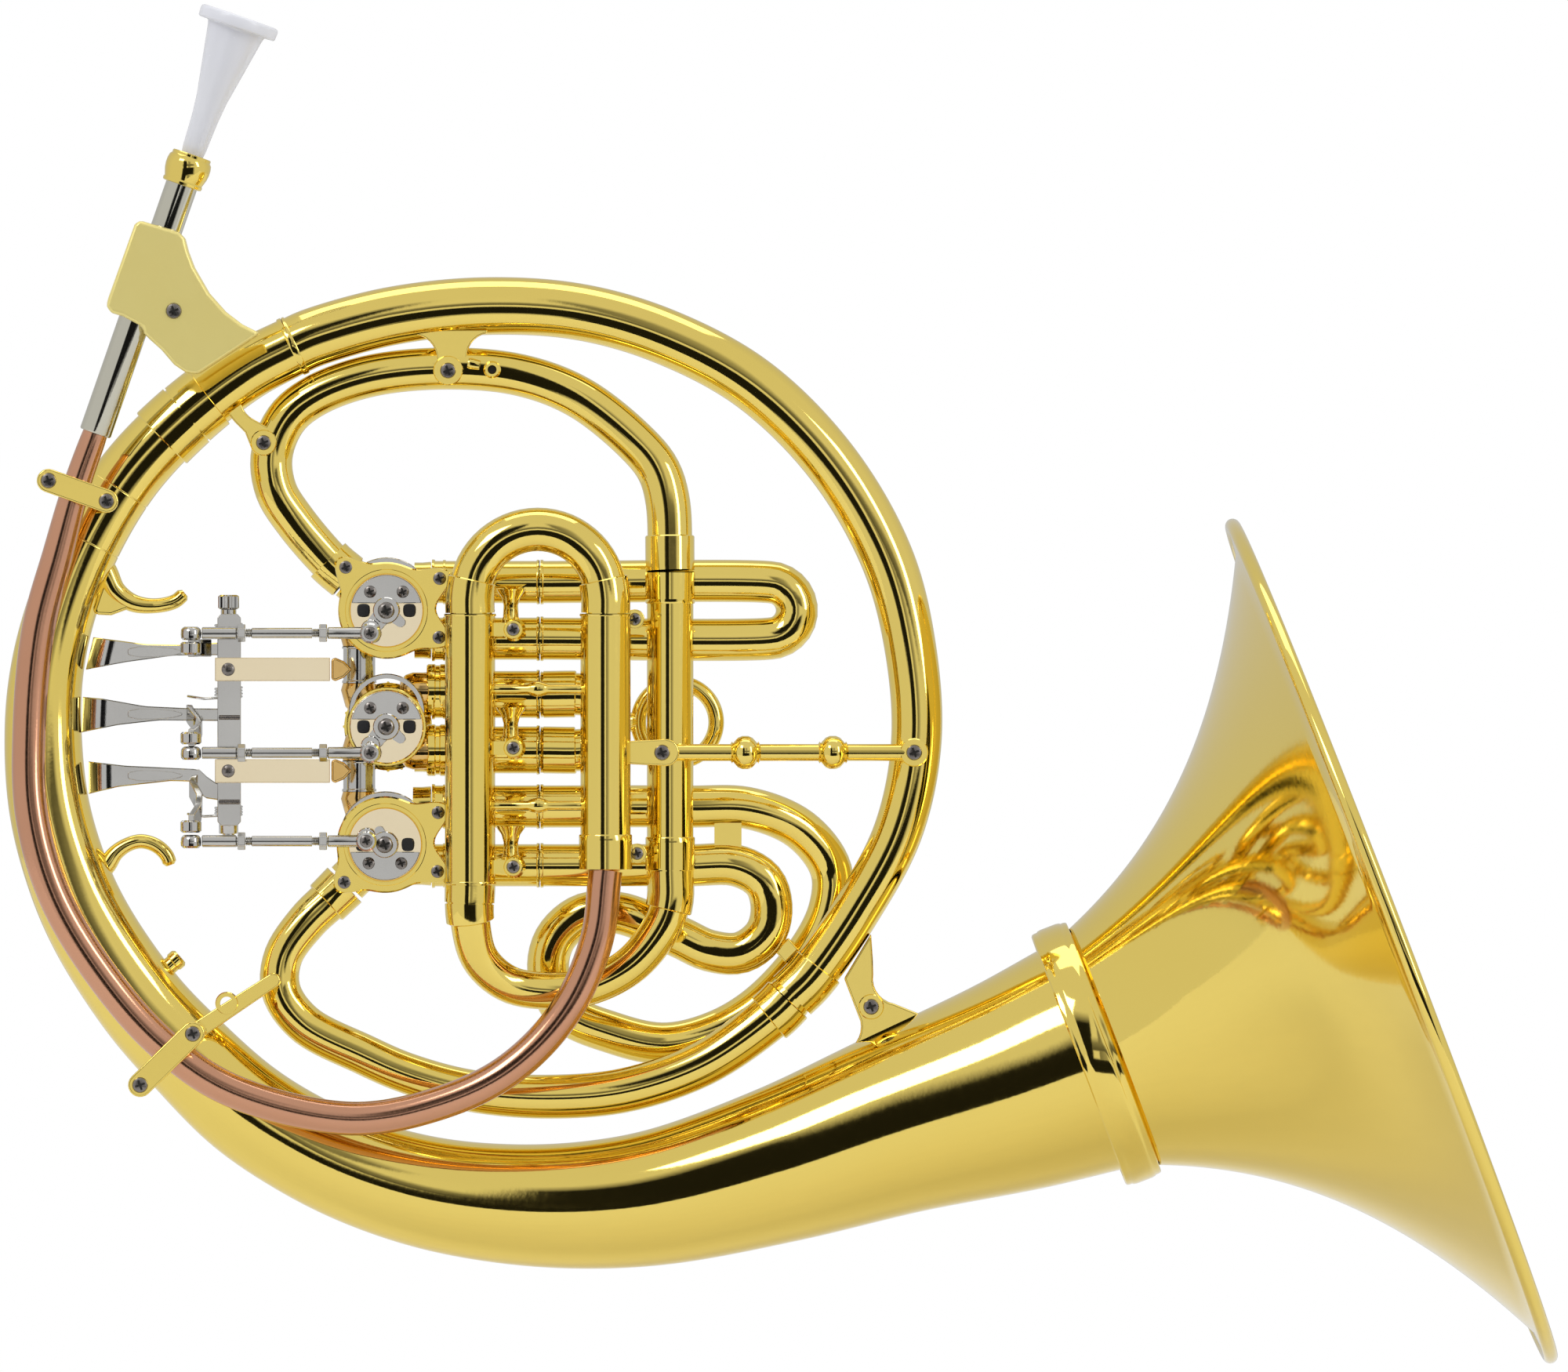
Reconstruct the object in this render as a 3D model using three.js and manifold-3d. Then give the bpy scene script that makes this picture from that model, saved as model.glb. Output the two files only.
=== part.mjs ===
// Single B flat French horn with three rotary valves, as an assembly of separate pieces.
// Millimetres, +Z up. The coil of tubing lies in the XZ plane at Y = 0, -Y is the lever side,
// and +X points from the levers to the bell. The origin is on the lever shaft, where the left
// hand holds the horn. Points on a pipe are [x, y, z, radius].
import * as THREE from 'three';
import { mergeVertices } from 'three/addons/utils/BufferGeometryUtils.js';
import Module from 'manifold-3d';

const wasm = await Module();
wasm.setup();

// ---------------------------------------------------------------- driving dimensions
const GAP = 0.3;
const WALL = 1.0;
const TUBE_SIDES = 8;
const RING_SIDES = 10;
const BELL_SIDES = 28;
const MAX_TURN = 0.42;

const LEG_Y = -24;
const INNER_LEG_Y = -10;
const VALVE_TUBE_Y = 6;
const PORT_Y = 2;
const LEADPIPE_Y = -19;

const BELL_RIM = new THREE.Vector3(387.7, 0, -70.7);
const BELL_AXIS = new THREE.Vector3(0.934, 0, 0.357).normalize();
const BELL_RIM_RADIUS = 148;
const BELL_THROAT_RADIUS = 18;
const BELL_FLARE_RATE = 0.0168;
const BELL_LENGTH = 106.8;
const RIM_BEAD_RADIUS = 2.4;

const VALVES = [
  { number: 1, x: 52.5, z: 38, slideTop: 47.5, slideLow: 28.7, slideRadius: 7, turn: -1 },
  { number: 2, x: 52.5, z: -0.5, slideTop: 10.2, slideLow: -8.2, slideRadius: 7.8, turn: -1 },
  { number: 3, x: 52, z: -39.5, slideTop: -27, slideLow: -46.5, slideRadius: 7, turn: 1 },
];
const CASING_RADIUS = 14.2;
const CASING_BORE = 11.6;
const CASING_FRONT = -9;
const CASING_BACK = 17;
const FLANGE_RADIUS = 16;
const KNUCKLE_X = 42.5;
const KNUCKLE_RADIUS = 6.1;
const SLEEVE_START_X = 67.3;
const SLEEVE_END_X = 103;
const INSERTED_START_X = 70;

const SHAFT_Y = -4;
const SHAFT_RADIUS = 2;
const LEVER_BORE = 2.3;
const ROD_Y = -23.5;
const ROD_RADIUS = 1.7;
const ROD_LEFT_X = -12;

const LEFT_LEG_X = 80.3;
const RIGHT_LEG_X = 125.1;
const INNER_LEG_X = 146.4;
const LEG_RADIUS = 8.3;

// ---------------------------------------------------------------- materials
const gold = new THREE.MeshStandardMaterial({ color: 0xd9b83a, roughness: 0.15, metalness: 1 });
const roseBrass = new THREE.MeshStandardMaterial({ color: 0xb8754c, roughness: 0.25, metalness: 1 });
const satinGold = new THREE.MeshStandardMaterial({ color: 0xd8b95a, roughness: 0.5, metalness: 0.8 });
const chrome = new THREE.MeshStandardMaterial({ color: 0xc8c8cc, roughness: 0.15, metalness: 1 });
const nickel = new THREE.MeshStandardMaterial({ color: 0xb6b6ba, roughness: 0.3, metalness: 1 });
const paleGold = new THREE.MeshStandardMaterial({ color: 0xe2c79a, roughness: 0.25, metalness: 1 });
const rubber = new THREE.MeshStandardMaterial({ color: 0x151515, roughness: 0.8, metalness: 0 });
const plastic = new THREE.MeshStandardMaterial({ color: 0xe9e6f2, roughness: 0.35, metalness: 0 });

// ---------------------------------------------------------------- solids
const horn = new THREE.Group();

function signedVolume(geometry) {
  const p = geometry.attributes.position;
  const index = geometry.index.array;
  const a = new THREE.Vector3();
  const b = new THREE.Vector3();
  const c = new THREE.Vector3();
  let volume = 0;
  for (let i = 0; i < index.length; i += 3) {
    a.fromBufferAttribute(p, index[i]);
    b.fromBufferAttribute(p, index[i + 1]);
    c.fromBufferAttribute(p, index[i + 2]);
    volume += a.dot(b.cross(c)) / 6;
  }
  return volume;
}

// Welds a geometry, drops the collapsed triangles at a lathe's poles and turns its faces outward.
function closed(geometry) {
  const bare = geometry.clone();
  bare.deleteAttribute('normal');
  bare.deleteAttribute('uv');
  const welded = mergeVertices(bare, 1e-4);
  const source = welded.index.array;
  const kept = [];
  for (let i = 0; i < source.length; i += 3) {
    const [a, b, c] = [source[i], source[i + 1], source[i + 2]];
    if (a !== b && b !== c && c !== a) kept.push(a, b, c);
  }
  welded.setIndex(kept);
  if (signedVolume(welded) < 0) {
    for (let i = 0; i < kept.length; i += 3) [kept[i], kept[i + 1]] = [kept[i + 1], kept[i]];
    welded.setIndex(kept);
  }
  return welded;
}

function solid(geometry) {
  const shape = closed(geometry);
  return new wasm.Manifold(new wasm.Mesh({
    numProp: 3,
    vertProperties: new Float32Array(shape.attributes.position.array),
    triVerts: new Uint32Array(shape.index.array),
  }));
}

function geometryOf(manifold) {
  const mesh = manifold.getMesh();
  const geometry = new THREE.BufferGeometry();
  geometry.setAttribute('position', new THREE.BufferAttribute(new Float32Array(mesh.vertProperties), 3));
  geometry.setIndex([...mesh.triVerts]);
  return geometry;
}

function build(additions, cuts = []) {
  let body = solid(additions[0]);
  for (const piece of additions.slice(1)) body = body.add(solid(piece));
  for (const piece of cuts) body = body.subtract(solid(piece));
  return geometryOf(body);
}

function part(name, geometry, material) {
  const mesh = new THREE.Mesh(closed(geometry), material);
  mesh.name = name;
  horn.add(mesh);
}

// ---------------------------------------------------------------- shapes
// Parameters along a curve, closer together where it turns.
function stations(curve, longest) {
  const steps = 400;
  const kept = [0];
  let tangent = curve.getTangent(0);
  let start = curve.getPoint(0);
  for (let i = 1; i < steps; i += 1) {
    const next = curve.getTangent(i / steps);
    const place = curve.getPoint(i / steps);
    if (tangent.angleTo(next) > MAX_TURN || start.distanceTo(place) > longest) {
      kept.push(i / steps);
      tangent = next;
      start = place;
    }
  }
  kept.push(1);
  return kept;
}

// A round pipe on a smooth path through [x, y, z, radius] points. A lathe turns the straight
// tube, and its rings are then carried to the path. wall = 0 makes it a solid bar. first and
// final list [length, rise] bands from each tip, such as a ferrule or a thinner inserted leg.
function pipe(points, options = {}) {
  const { wall = WALL, sides = TUBE_SIDES, grow = 0, longest = 1000, first = [], final = [] } = options;
  const places = points.map(([x, y, z]) => new THREE.Vector3(x, y, z));
  const curve = new THREE.CatmullRomCurve3(places, false, 'centripetal');
  const last = points.length - 1;
  const radiusAt = (t) => {
    const i = Math.min(Math.floor(t * last), last - 1);
    return THREE.MathUtils.lerp(points[i][3], points[i + 1][3], t * last - i) + grow;
  };
  const total = curve.getLength();
  const edgeAt = (length) => curve.getUtoTmapping(length / total);
  const bands = [];
  let from = 0;
  for (const [length, rise] of first) {
    bands.push([from > 0 ? edgeAt(from) : 0, edgeAt(from + length), rise]);
    from += length;
  }
  from = total;
  for (const [length, rise] of final) {
    bands.push([edgeAt(from - length), from < total ? edgeAt(from) : 1, rise]);
    from -= length;
  }
  const riseAt = (t) => (bands.find(([low, high]) => t >= low && t <= high) ?? [0, 0, 0])[2];
  const rows = stations(curve, longest).map((t) => ({ t, extra: riseAt(t) }));
  const edges = new Set(bands.flatMap(([low, high]) => [low, high]).filter((t) => t > 0 && t < 1));
  for (const t of edges) {
    const [before, after] = [riseAt(t - 1e-5), riseAt(t + 1e-5)];
    rows.push({ t: t - 1e-6, extra: before }, { t: t + 1e-6, extra: after });
  }
  rows.sort((a, b) => a.t - b.t);
  const outer = rows.map(({ t, extra }) => new THREE.Vector2(radiusAt(t) + extra, t));
  const profile = wall > 0
    ? [...outer, ...stations(curve, longest).reverse().map((t) => new THREE.Vector2(radiusAt(t) - wall, t))]
    : [new THREE.Vector2(0, 0), ...outer, new THREE.Vector2(0, 1)];
  if (wall > 0) profile.push(profile[0].clone());
  const geometry = new THREE.LatheGeometry(profile, sides);
  const position = geometry.attributes.position;
  const across = new THREE.Vector3(0, 1, 0);
  for (let i = 0; i < position.count; i += 1) {
    const t = position.getY(i);
    const tangent = curve.getTangent(t);
    const normal = new THREE.Vector3().crossVectors(across, tangent).normalize();
    const binormal = new THREE.Vector3().crossVectors(normal, tangent);
    const place = curve.getPoint(t);
    place.addScaledVector(normal, position.getX(i)).addScaledVector(binormal, position.getZ(i));
    position.setXYZ(i, place.x, place.y, place.z);
  }
  return geometry;
}

const bar = (points, options = {}) => pipe(points, { ...options, wall: 0 });

// A body turned about an axis along Y through (x, z). The profile is [radius, y] points.
function turned(x, z, profile, sides = 16) {
  const geometry = new THREE.LatheGeometry(profile.map(([r, y]) => new THREE.Vector2(r, y)), sides);
  geometry.translate(x, 0, z);
  return geometry;
}

function disc(x, z, radius, front, back, sides = 12) {
  return turned(x, z, [[0, front], [radius, front], [radius, back], [0, back]], sides);
}

function ring(x, z, inner, outer, front, back, sides = 16) {
  return turned(x, z, [[inner, front], [outer, front], [outer, back], [inner, back], [inner, front]], sides);
}

// A cylinder that stands along Z.
function post(x, y, radius, low, high, sides = 12) {
  const geometry = new THREE.CylinderGeometry(radius, radius, high - low, sides);
  geometry.rotateX(Math.PI / 2);
  geometry.translate(x, y, (low + high) / 2);
  return geometry;
}

function box(x0, x1, y0, y1, z0, z1) {
  const geometry = new THREE.BoxGeometry(x1 - x0, y1 - y0, z1 - z0);
  geometry.translate((x0 + x1) / 2, (y0 + y1) / 2, (z0 + z1) / 2);
  return geometry;
}

// A flat plate with its outline given as [x, z] points, from Y = front to Y = back.
function plate(outline, front, back) {
  const shape = new THREE.Shape(outline.map(([x, z]) => new THREE.Vector2(x, z)));
  const geometry = new THREE.ExtrudeGeometry(shape, { depth: back - front, bevelEnabled: false });
  geometry.rotateX(Math.PI / 2);
  geometry.translate(0, back, 0);
  return geometry;
}

// A bar with round ends between two [x, z] points.
function link(a, b, radius, front, back) {
  const angle = Math.atan2(b[1] - a[1], b[0] - a[0]);
  const outline = [];
  const steps = 5;
  for (let i = 0; i <= steps; i += 1) {
    const turn = angle + Math.PI / 2 + (Math.PI * i) / steps;
    outline.push([a[0] + radius * Math.cos(turn), a[1] + radius * Math.sin(turn)]);
  }
  for (let i = 0; i <= steps; i += 1) {
    const turn = angle - Math.PI / 2 + (Math.PI * i) / steps;
    outline.push([b[0] + radius * Math.cos(turn), b[1] + radius * Math.sin(turn)]);
  }
  return plate(outline, front, back);
}

// ---------------------------------------------------------------- routes of the air column
const leadpipeTop = [-14.3, LEADPIPE_Y, 181.2];
const leadpipeFoot = [-43.8, LEADPIPE_Y, 96.6];
const leadpipeRoute = [
  [-44, LEADPIPE_Y, 96, 4.2], [-50, -19, 79, 4.6], [-56, -19, 57, 5.2], [-62.5, -19.5, 32, 5.6],
  [-65.5, -20, 0, 5.6], [-64.6, -21, -30, 5.6], [-56.4, -21.5, -58, 5.6], [-38.2, -22.2, -87, 5.6],
  [-20, -22.8, -106.6, 5.6], [2, -23.4, -121, 5.6], [41, -24.5, -130, 5.6], [70, -25, -125, 5.6],
  [93, -25, -114, 5.6], [111.5, -25, -95, 5.6], [122, -24.5, -71.5, 5.6], [RIGHT_LEG_X, LEG_Y, -48, 5.6],
];
const ringRoute = [
  [186.8, 0, -89.6, 8], [192.6, 0, -83.8, 8], [207.5, 0, -62.4, 8], [222, 0, -35, 8.2], [228, 0, -5, 8.4],
  [225.7, 0, 27.5, 8.6], [218, 0, 56, 8.9], [200, 0, 87, 9], [174, 0, 113, 9.2], [145, 0, 128.7, 9.3],
  [116.5, 0, 137, 9.4], [85.5, 0, 139, 9.6], [54, 0, 135.7, 9.7], [28, 0, 128.6, 9.8],
  [21.2, 0, 125.6, 9.8],
];
const bellTailEnd = BELL_RIM.clone().addScaledVector(BELL_AXIS, -BELL_LENGTH - 0.8);
const bellTailRoute = [
  [20.2, 0, 125, 9.9], [4.7, 0, 117, 10.2], [-15.6, 0, 101.4, 10.7], [-33, 0, 83, 11], [-46.5, 0, 61, 11.2],
  [-55, 0, 40, 11.6], [-60, 0, 20, 12.1], [-61.7, 0, 0, 12.8], [-59.6, 0, -27, 13.4], [-53, 0, -50.7, 13.9],
  [-44.5, 0, -69, 14.4], [-28.6, 0, -92.6, 15], [-13.5, 0, -109.2, 15.6], [4.9, 0, -126.6, 16.5],
  [23, 0, -138.5, 17], [43, 0, -148, 17.7], [67, 0, -155.2, 18.7], [93, 0, -158.8, 19.9],
  [119, 0, -159.1, 21.2],
  [145, 0, -156, 22.8], [184, 0, -145.3, 26.2], [223, 0, -131.6, 30.6], [262.5, 0, -118.6, 36],
  [bellTailEnd.x, 0, bellTailEnd.z, 39.6],
];
const branchRoute = [
  [38.3, PORT_Y, -53, 7.2], [33, PORT_Y, -58.2, 7], [26, 1, -65, 6.8], [18, 0, -76.7, 6.5],
  [17.3, 0, -88, 6.6], [25, 0, -99, 6.7], [44.7, 0, -109.2, 6.8], [59, 0, -115.4, 6.8],
  [80, 0, -121.2, 7], [106, 0, -123.2, 7.3], [132, 0, -120.9, 7.4],
  [158, 0, -111.8, 7.5], [180.4, 0, -96, 7.8], [186.2, 0, -90.2, 7.8],
];
const inletRoute = [
  [INNER_LEG_X, INNER_LEG_Y, 51.3, 7.4], [145.6, -9, 74, 7.4], [142.5, -8, 84.5, 7.3],
  [135.5, -6.5, 93.3, 7.2],
  [116.5, -4, 108.5, 7.1], [97, -2, 116, 7], [72.3, 0, 118.3, 7], [46.3, 0, 115.7, 7], [28.1, 0, 109, 7],
  [19, 0, 101.5, 7], [14.2, 0, 89.5, 7], [15.6, 0, 78, 7], [21.8, 1, 67.9, 7], [33.6, PORT_Y, 54.1, 6.9],
  [39.6, PORT_Y, 49, 6.9],
];
const ringClearance = bar(ringRoute, { grow: 1.3, sides: RING_SIDES, longest: 30 });
const bellTailClearance = bar(bellTailRoute, { grow: 0.6, sides: RING_SIDES + 2, longest: 36 });
const branchClearance = bar(branchRoute, { grow: 0.5 });

// ---------------------------------------------------------------- mouthpiece and leadpipe
function alongLeadpipe(profile, sides = 14) {
  const rise = [leadpipeTop[0] - leadpipeFoot[0], 0, leadpipeTop[2] - leadpipeFoot[2]];
  const direction = new THREE.Vector3(...rise).normalize();
  const geometry = new THREE.LatheGeometry(profile.map(([r, s]) => new THREE.Vector2(r, s)), sides);
  geometry.applyQuaternion(new THREE.Quaternion().setFromUnitVectors(new THREE.Vector3(0, 1, 0), direction));
  geometry.translate(leadpipeFoot[0], LEADPIPE_Y, leadpipeFoot[2]);
  return geometry;
}
const CHROME_LENGTH = 89.6;
const RECEIVER_START = 86.6;
const RECEIVER_END = 97.6;
const MOUTHPIECE_END = 146;

part('mouthpiece', alongLeadpipe([
  [2.2, 92], [3.4, 92], [4, 98.5], [4.6, 110], [5.6, 118], [9.2, 139], [9.6, 141.8], [13.6, 141.8],
  [13.6, 145.6],
  [12.8, MOUTHPIECE_END], [9.4, MOUTHPIECE_END], [7.4, 139], [4, 124], [2.2, 114], [2.2, 92],
]), plastic);
part('mouthpiece_receiver', alongLeadpipe([
  [5.7, RECEIVER_START], [6.4, RECEIVER_START], [7.4, RECEIVER_START + 3.5], [7.6, RECEIVER_START + 6],
  [6.9, RECEIVER_END - 1.6], [6.9, RECEIVER_END], [4.5, RECEIVER_END], [4.2, CHROME_LENGTH + 0.4],
  [5.7, CHROME_LENGTH + 0.4], [5.7, RECEIVER_START],
]), gold);
part('leadpipe_upper', alongLeadpipe([
  [4, 0], [5.35, 0], [5.35, CHROME_LENGTH], [4, CHROME_LENGTH], [4, 0],
], 14), chrome);
part('leadpipe', pipe(leadpipeRoute, { longest: 34 }), roseBrass);

const bracketOutline = [
  [-30.3, 167.2], [-14.3, 162.5], [-11.2, 153.4], [-6, 143], [2.6, 134.4], [11.2, 129.5], [-10.1, 115.7],
  [-14.3, 116.7], [-20.8, 122.7], [-26, 127.9], [-28.1, 131.3], [-35.6, 135.5], [-40.3, 137.5],
];
part('leadpipe_bracket', build(
  [plate(bracketOutline, LEADPIPE_Y - 8, -7)],
  [alongLeadpipe([[0, 20], [5.7, 20], [5.7, 84], [0, 84]], 14), bellTailClearance, ringClearance],
), satinGold);

// ---------------------------------------------------------------- coil and bell
part('branch_tube', pipe(branchRoute, { longest: 30, first: [[9, 0.9]] }), gold);
part('main_coil', pipe(ringRoute, {
  longest: 30, sides: RING_SIDES, first: [[13, 0.9]], final: [[7, 0.9]],
}), gold);
part('bell_tail', pipe(bellTailRoute, { longest: 20, sides: RING_SIDES + 2 }), gold);

// Radius of the bell at a distance back from its rim.
function bellRadius(back) {
  return BELL_THROAT_RADIUS + (BELL_RIM_RADIUS - BELL_THROAT_RADIUS) * Math.exp(-BELL_FLARE_RATE * back);
}
function alongBell(profile, sides = BELL_SIDES) {
  const geometry = new THREE.LatheGeometry(profile.map(([r, s]) => new THREE.Vector2(r, s)), sides);
  geometry.applyQuaternion(new THREE.Quaternion().setFromUnitVectors(new THREE.Vector3(0, 1, 0), BELL_AXIS));
  geometry.translate(BELL_RIM.x, BELL_RIM.y, BELL_RIM.z);
  return geometry;
}
const bellStations = [BELL_LENGTH, 84, 64, 47, 32, 19, 8];
const bellProfile = [
  ...bellStations.map((s) => [bellRadius(s), -s]),
  [BELL_RIM_RADIUS + 0.6, -2 * RIM_BEAD_RADIUS],
  [BELL_RIM_RADIUS + RIM_BEAD_RADIUS, -1.6 * RIM_BEAD_RADIUS],
  [BELL_RIM_RADIUS + RIM_BEAD_RADIUS, -0.4 * RIM_BEAD_RADIUS],
  [BELL_RIM_RADIUS + RIM_BEAD_RADIUS / 2, 0],
  [BELL_RIM_RADIUS - RIM_BEAD_RADIUS, 0],
  ...[...bellStations].reverse().map((s) => [bellRadius(s) - 1.6, -s]),
];
bellProfile.push([...bellProfile[0]]);
part('bell_flare', alongBell(bellProfile), gold);
part('bell_garland', alongBell([
  [42.9, -113.4], [44.4, -113.4], [45, -112], [45, -102], [44.4, -100.8], [43.3, -100.8], [42.9, -113.4],
], 22), gold);

// ---------------------------------------------------------------- tuning slides
function uprightTube(x, y, radius, low, high, wall, sides = TUBE_SIDES) {
  const geometry = new THREE.LatheGeometry([
    new THREE.Vector2(radius - wall, low), new THREE.Vector2(radius, low), new THREE.Vector2(radius, high),
    new THREE.Vector2(radius - wall, high), new THREE.Vector2(radius - wall, low),
  ], sides);
  geometry.rotateX(Math.PI / 2);
  geometry.translate(x, y, 0);
  return geometry;
}
const LEG_TOP = 36.9;
const LEFT_LEG_LOW = -52.5;
const RIGHT_LEG_LOW = -47.6;
const INNER_LEG_LOW = -48;
const LEG_WALL = 1.4;
const INSERTED_LENGTH = 34;
const standoffHeights = [31.7, -7.5, -46.8];
const standoffX = 94.6;
const leftLeg = [uprightTube(LEFT_LEG_X, LEG_Y, LEG_RADIUS, LEFT_LEG_LOW, LEG_TOP, LEG_WALL)];
for (const z of standoffHeights) {
  leftLeg.push(box(LEFT_LEG_X + 7.5, standoffX, LEG_Y - 3, LEG_Y + 1, z - 2.4, z + 2.4));
  leftLeg.push(disc(standoffX, z, 3.3, LEG_Y - 4, -2.4, 12));
}
part('left_slide_leg', build(leftLeg), gold);
part('right_slide_leg', uprightTube(RIGHT_LEG_X, LEG_Y, LEG_RADIUS, RIGHT_LEG_LOW, LEG_TOP, LEG_WALL), gold);
part('inner_leg', uprightTube(INNER_LEG_X, INNER_LEG_Y, 7.7, INNER_LEG_LOW, 50.9, 1.2), gold);

const bowRadius = (RIGHT_LEG_X - LEFT_LEG_X) / 2;
const bowCentreZ = 42.4;
const upperBow = [
  [LEFT_LEG_X, LEG_Y, LEG_TOP + GAP - INSERTED_LENGTH, 7.2], [LEFT_LEG_X, LEG_Y, 30, 7.2],
  [LEFT_LEG_X, LEG_Y, LEG_TOP, 7.2],
];
for (let i = 0; i <= 8; i += 1) {
  const angle = Math.PI - (Math.PI * i) / 8;
  upperBow.push([
    (LEFT_LEG_X + RIGHT_LEG_X) / 2 + bowRadius * Math.cos(angle), LEG_Y,
    bowCentreZ + bowRadius * Math.sin(angle), 7.2,
  ]);
}
upperBow.push(
  [RIGHT_LEG_X, LEG_Y, LEG_TOP, 7.2], [RIGHT_LEG_X, LEG_Y, 30, 7.2],
  [RIGHT_LEG_X, LEG_Y, LEG_TOP + GAP - INSERTED_LENGTH, 7.2],
);
const upperBands = [[INSERTED_LENGTH, -0.6], [11, 0.9]];
part('main_tuning_slide', pipe(upperBow, { wall: 1.6, first: upperBands, final: upperBands }), gold);

const lowerBow = [
  [LEFT_LEG_X, LEG_Y, -26, 6.9], [LEFT_LEG_X, LEG_Y, LEFT_LEG_LOW, 6.9],
  [LEFT_LEG_X, LEG_Y + 0.4, -64, 6.6], [83.5, -19, -77.2, 6.3], [92.8, -14, -85.6, 6.2],
  [106, -11, -88, 6.2], [120, -10, -86.4, 6.2], [133.9, -10, -79, 6.4],
  [144, INNER_LEG_Y, -66, 6.6], [INNER_LEG_X, INNER_LEG_Y, -58, 6.8], [INNER_LEG_X, INNER_LEG_Y, -48, 6.8],
  [INNER_LEG_X, INNER_LEG_Y, -24, 6.8],
];
part('lower_tuning_slide', pipe(lowerBow, {
  wall: 1.6,
  first: [[-26 - LEFT_LEG_LOW + GAP, -0.3], [12, 1.3]],
  final: [[-24 - INNER_LEG_LOW + GAP, -0.6], [13, 1]],
}), gold);

// Inlet tube to the first valve, with the two gussets that tie it to the coil and its vent nipple.
const upperGusset = [[60, 133], [85, 133], [78, 122], [76, 114], [70, 114], [68, 122]];
const sideGusset = [[2, 111], [16, 100], [16, 90], [8, 91], [2, 99], [-6, 102]];
part('valve_inlet_tube', build(
  [bar(inletRoute), plate(upperGusset, -3, 3), plate(sideGusset, -3, 3), disc(87.4, 118, 2.8, -9.5, 0, 10)],
  [pipe(inletRoute, { wall: 0, grow: -WALL }), ringClearance, bellTailClearance],
), gold);

// ---------------------------------------------------------------- rotary valves
const earPlaces = {
  1: [[-13.5, 14.3], [17.6, 10.6], [17.4, -8.9]],
  2: [],
  3: [[-13.5, -12.5], [17.6, 10.6], [17.4, -8.9]],
};
function stub(from, to, radius) {
  return bar([[from[0], PORT_Y, from[1], radius], [to[0], PORT_Y, to[1], radius]], { sides: 10 });
}
function sideways(z, x0, x1, radius) {
  return bar([[x0, VALVE_TUBE_Y, z, radius], [x1, VALVE_TUBE_Y, z, radius]], { sides: 10 });
}
const knuckleEnds = {
  1: [[[KNUCKLE_X, 30], [KNUCKLE_X, 20.2]]],
  2: [[[KNUCKLE_X, 8], [KNUCKLE_X, 19.9]], [[KNUCKLE_X, -8], [KNUCKLE_X, -17.6]]],
  3: [[[KNUCKLE_X, -31], [KNUCKLE_X, -17.9]]],
};
const outerPorts = { 1: [-0.76, 0.65, 16.3], 2: null, 3: [-0.712, -0.702, 18.1] };

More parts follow.
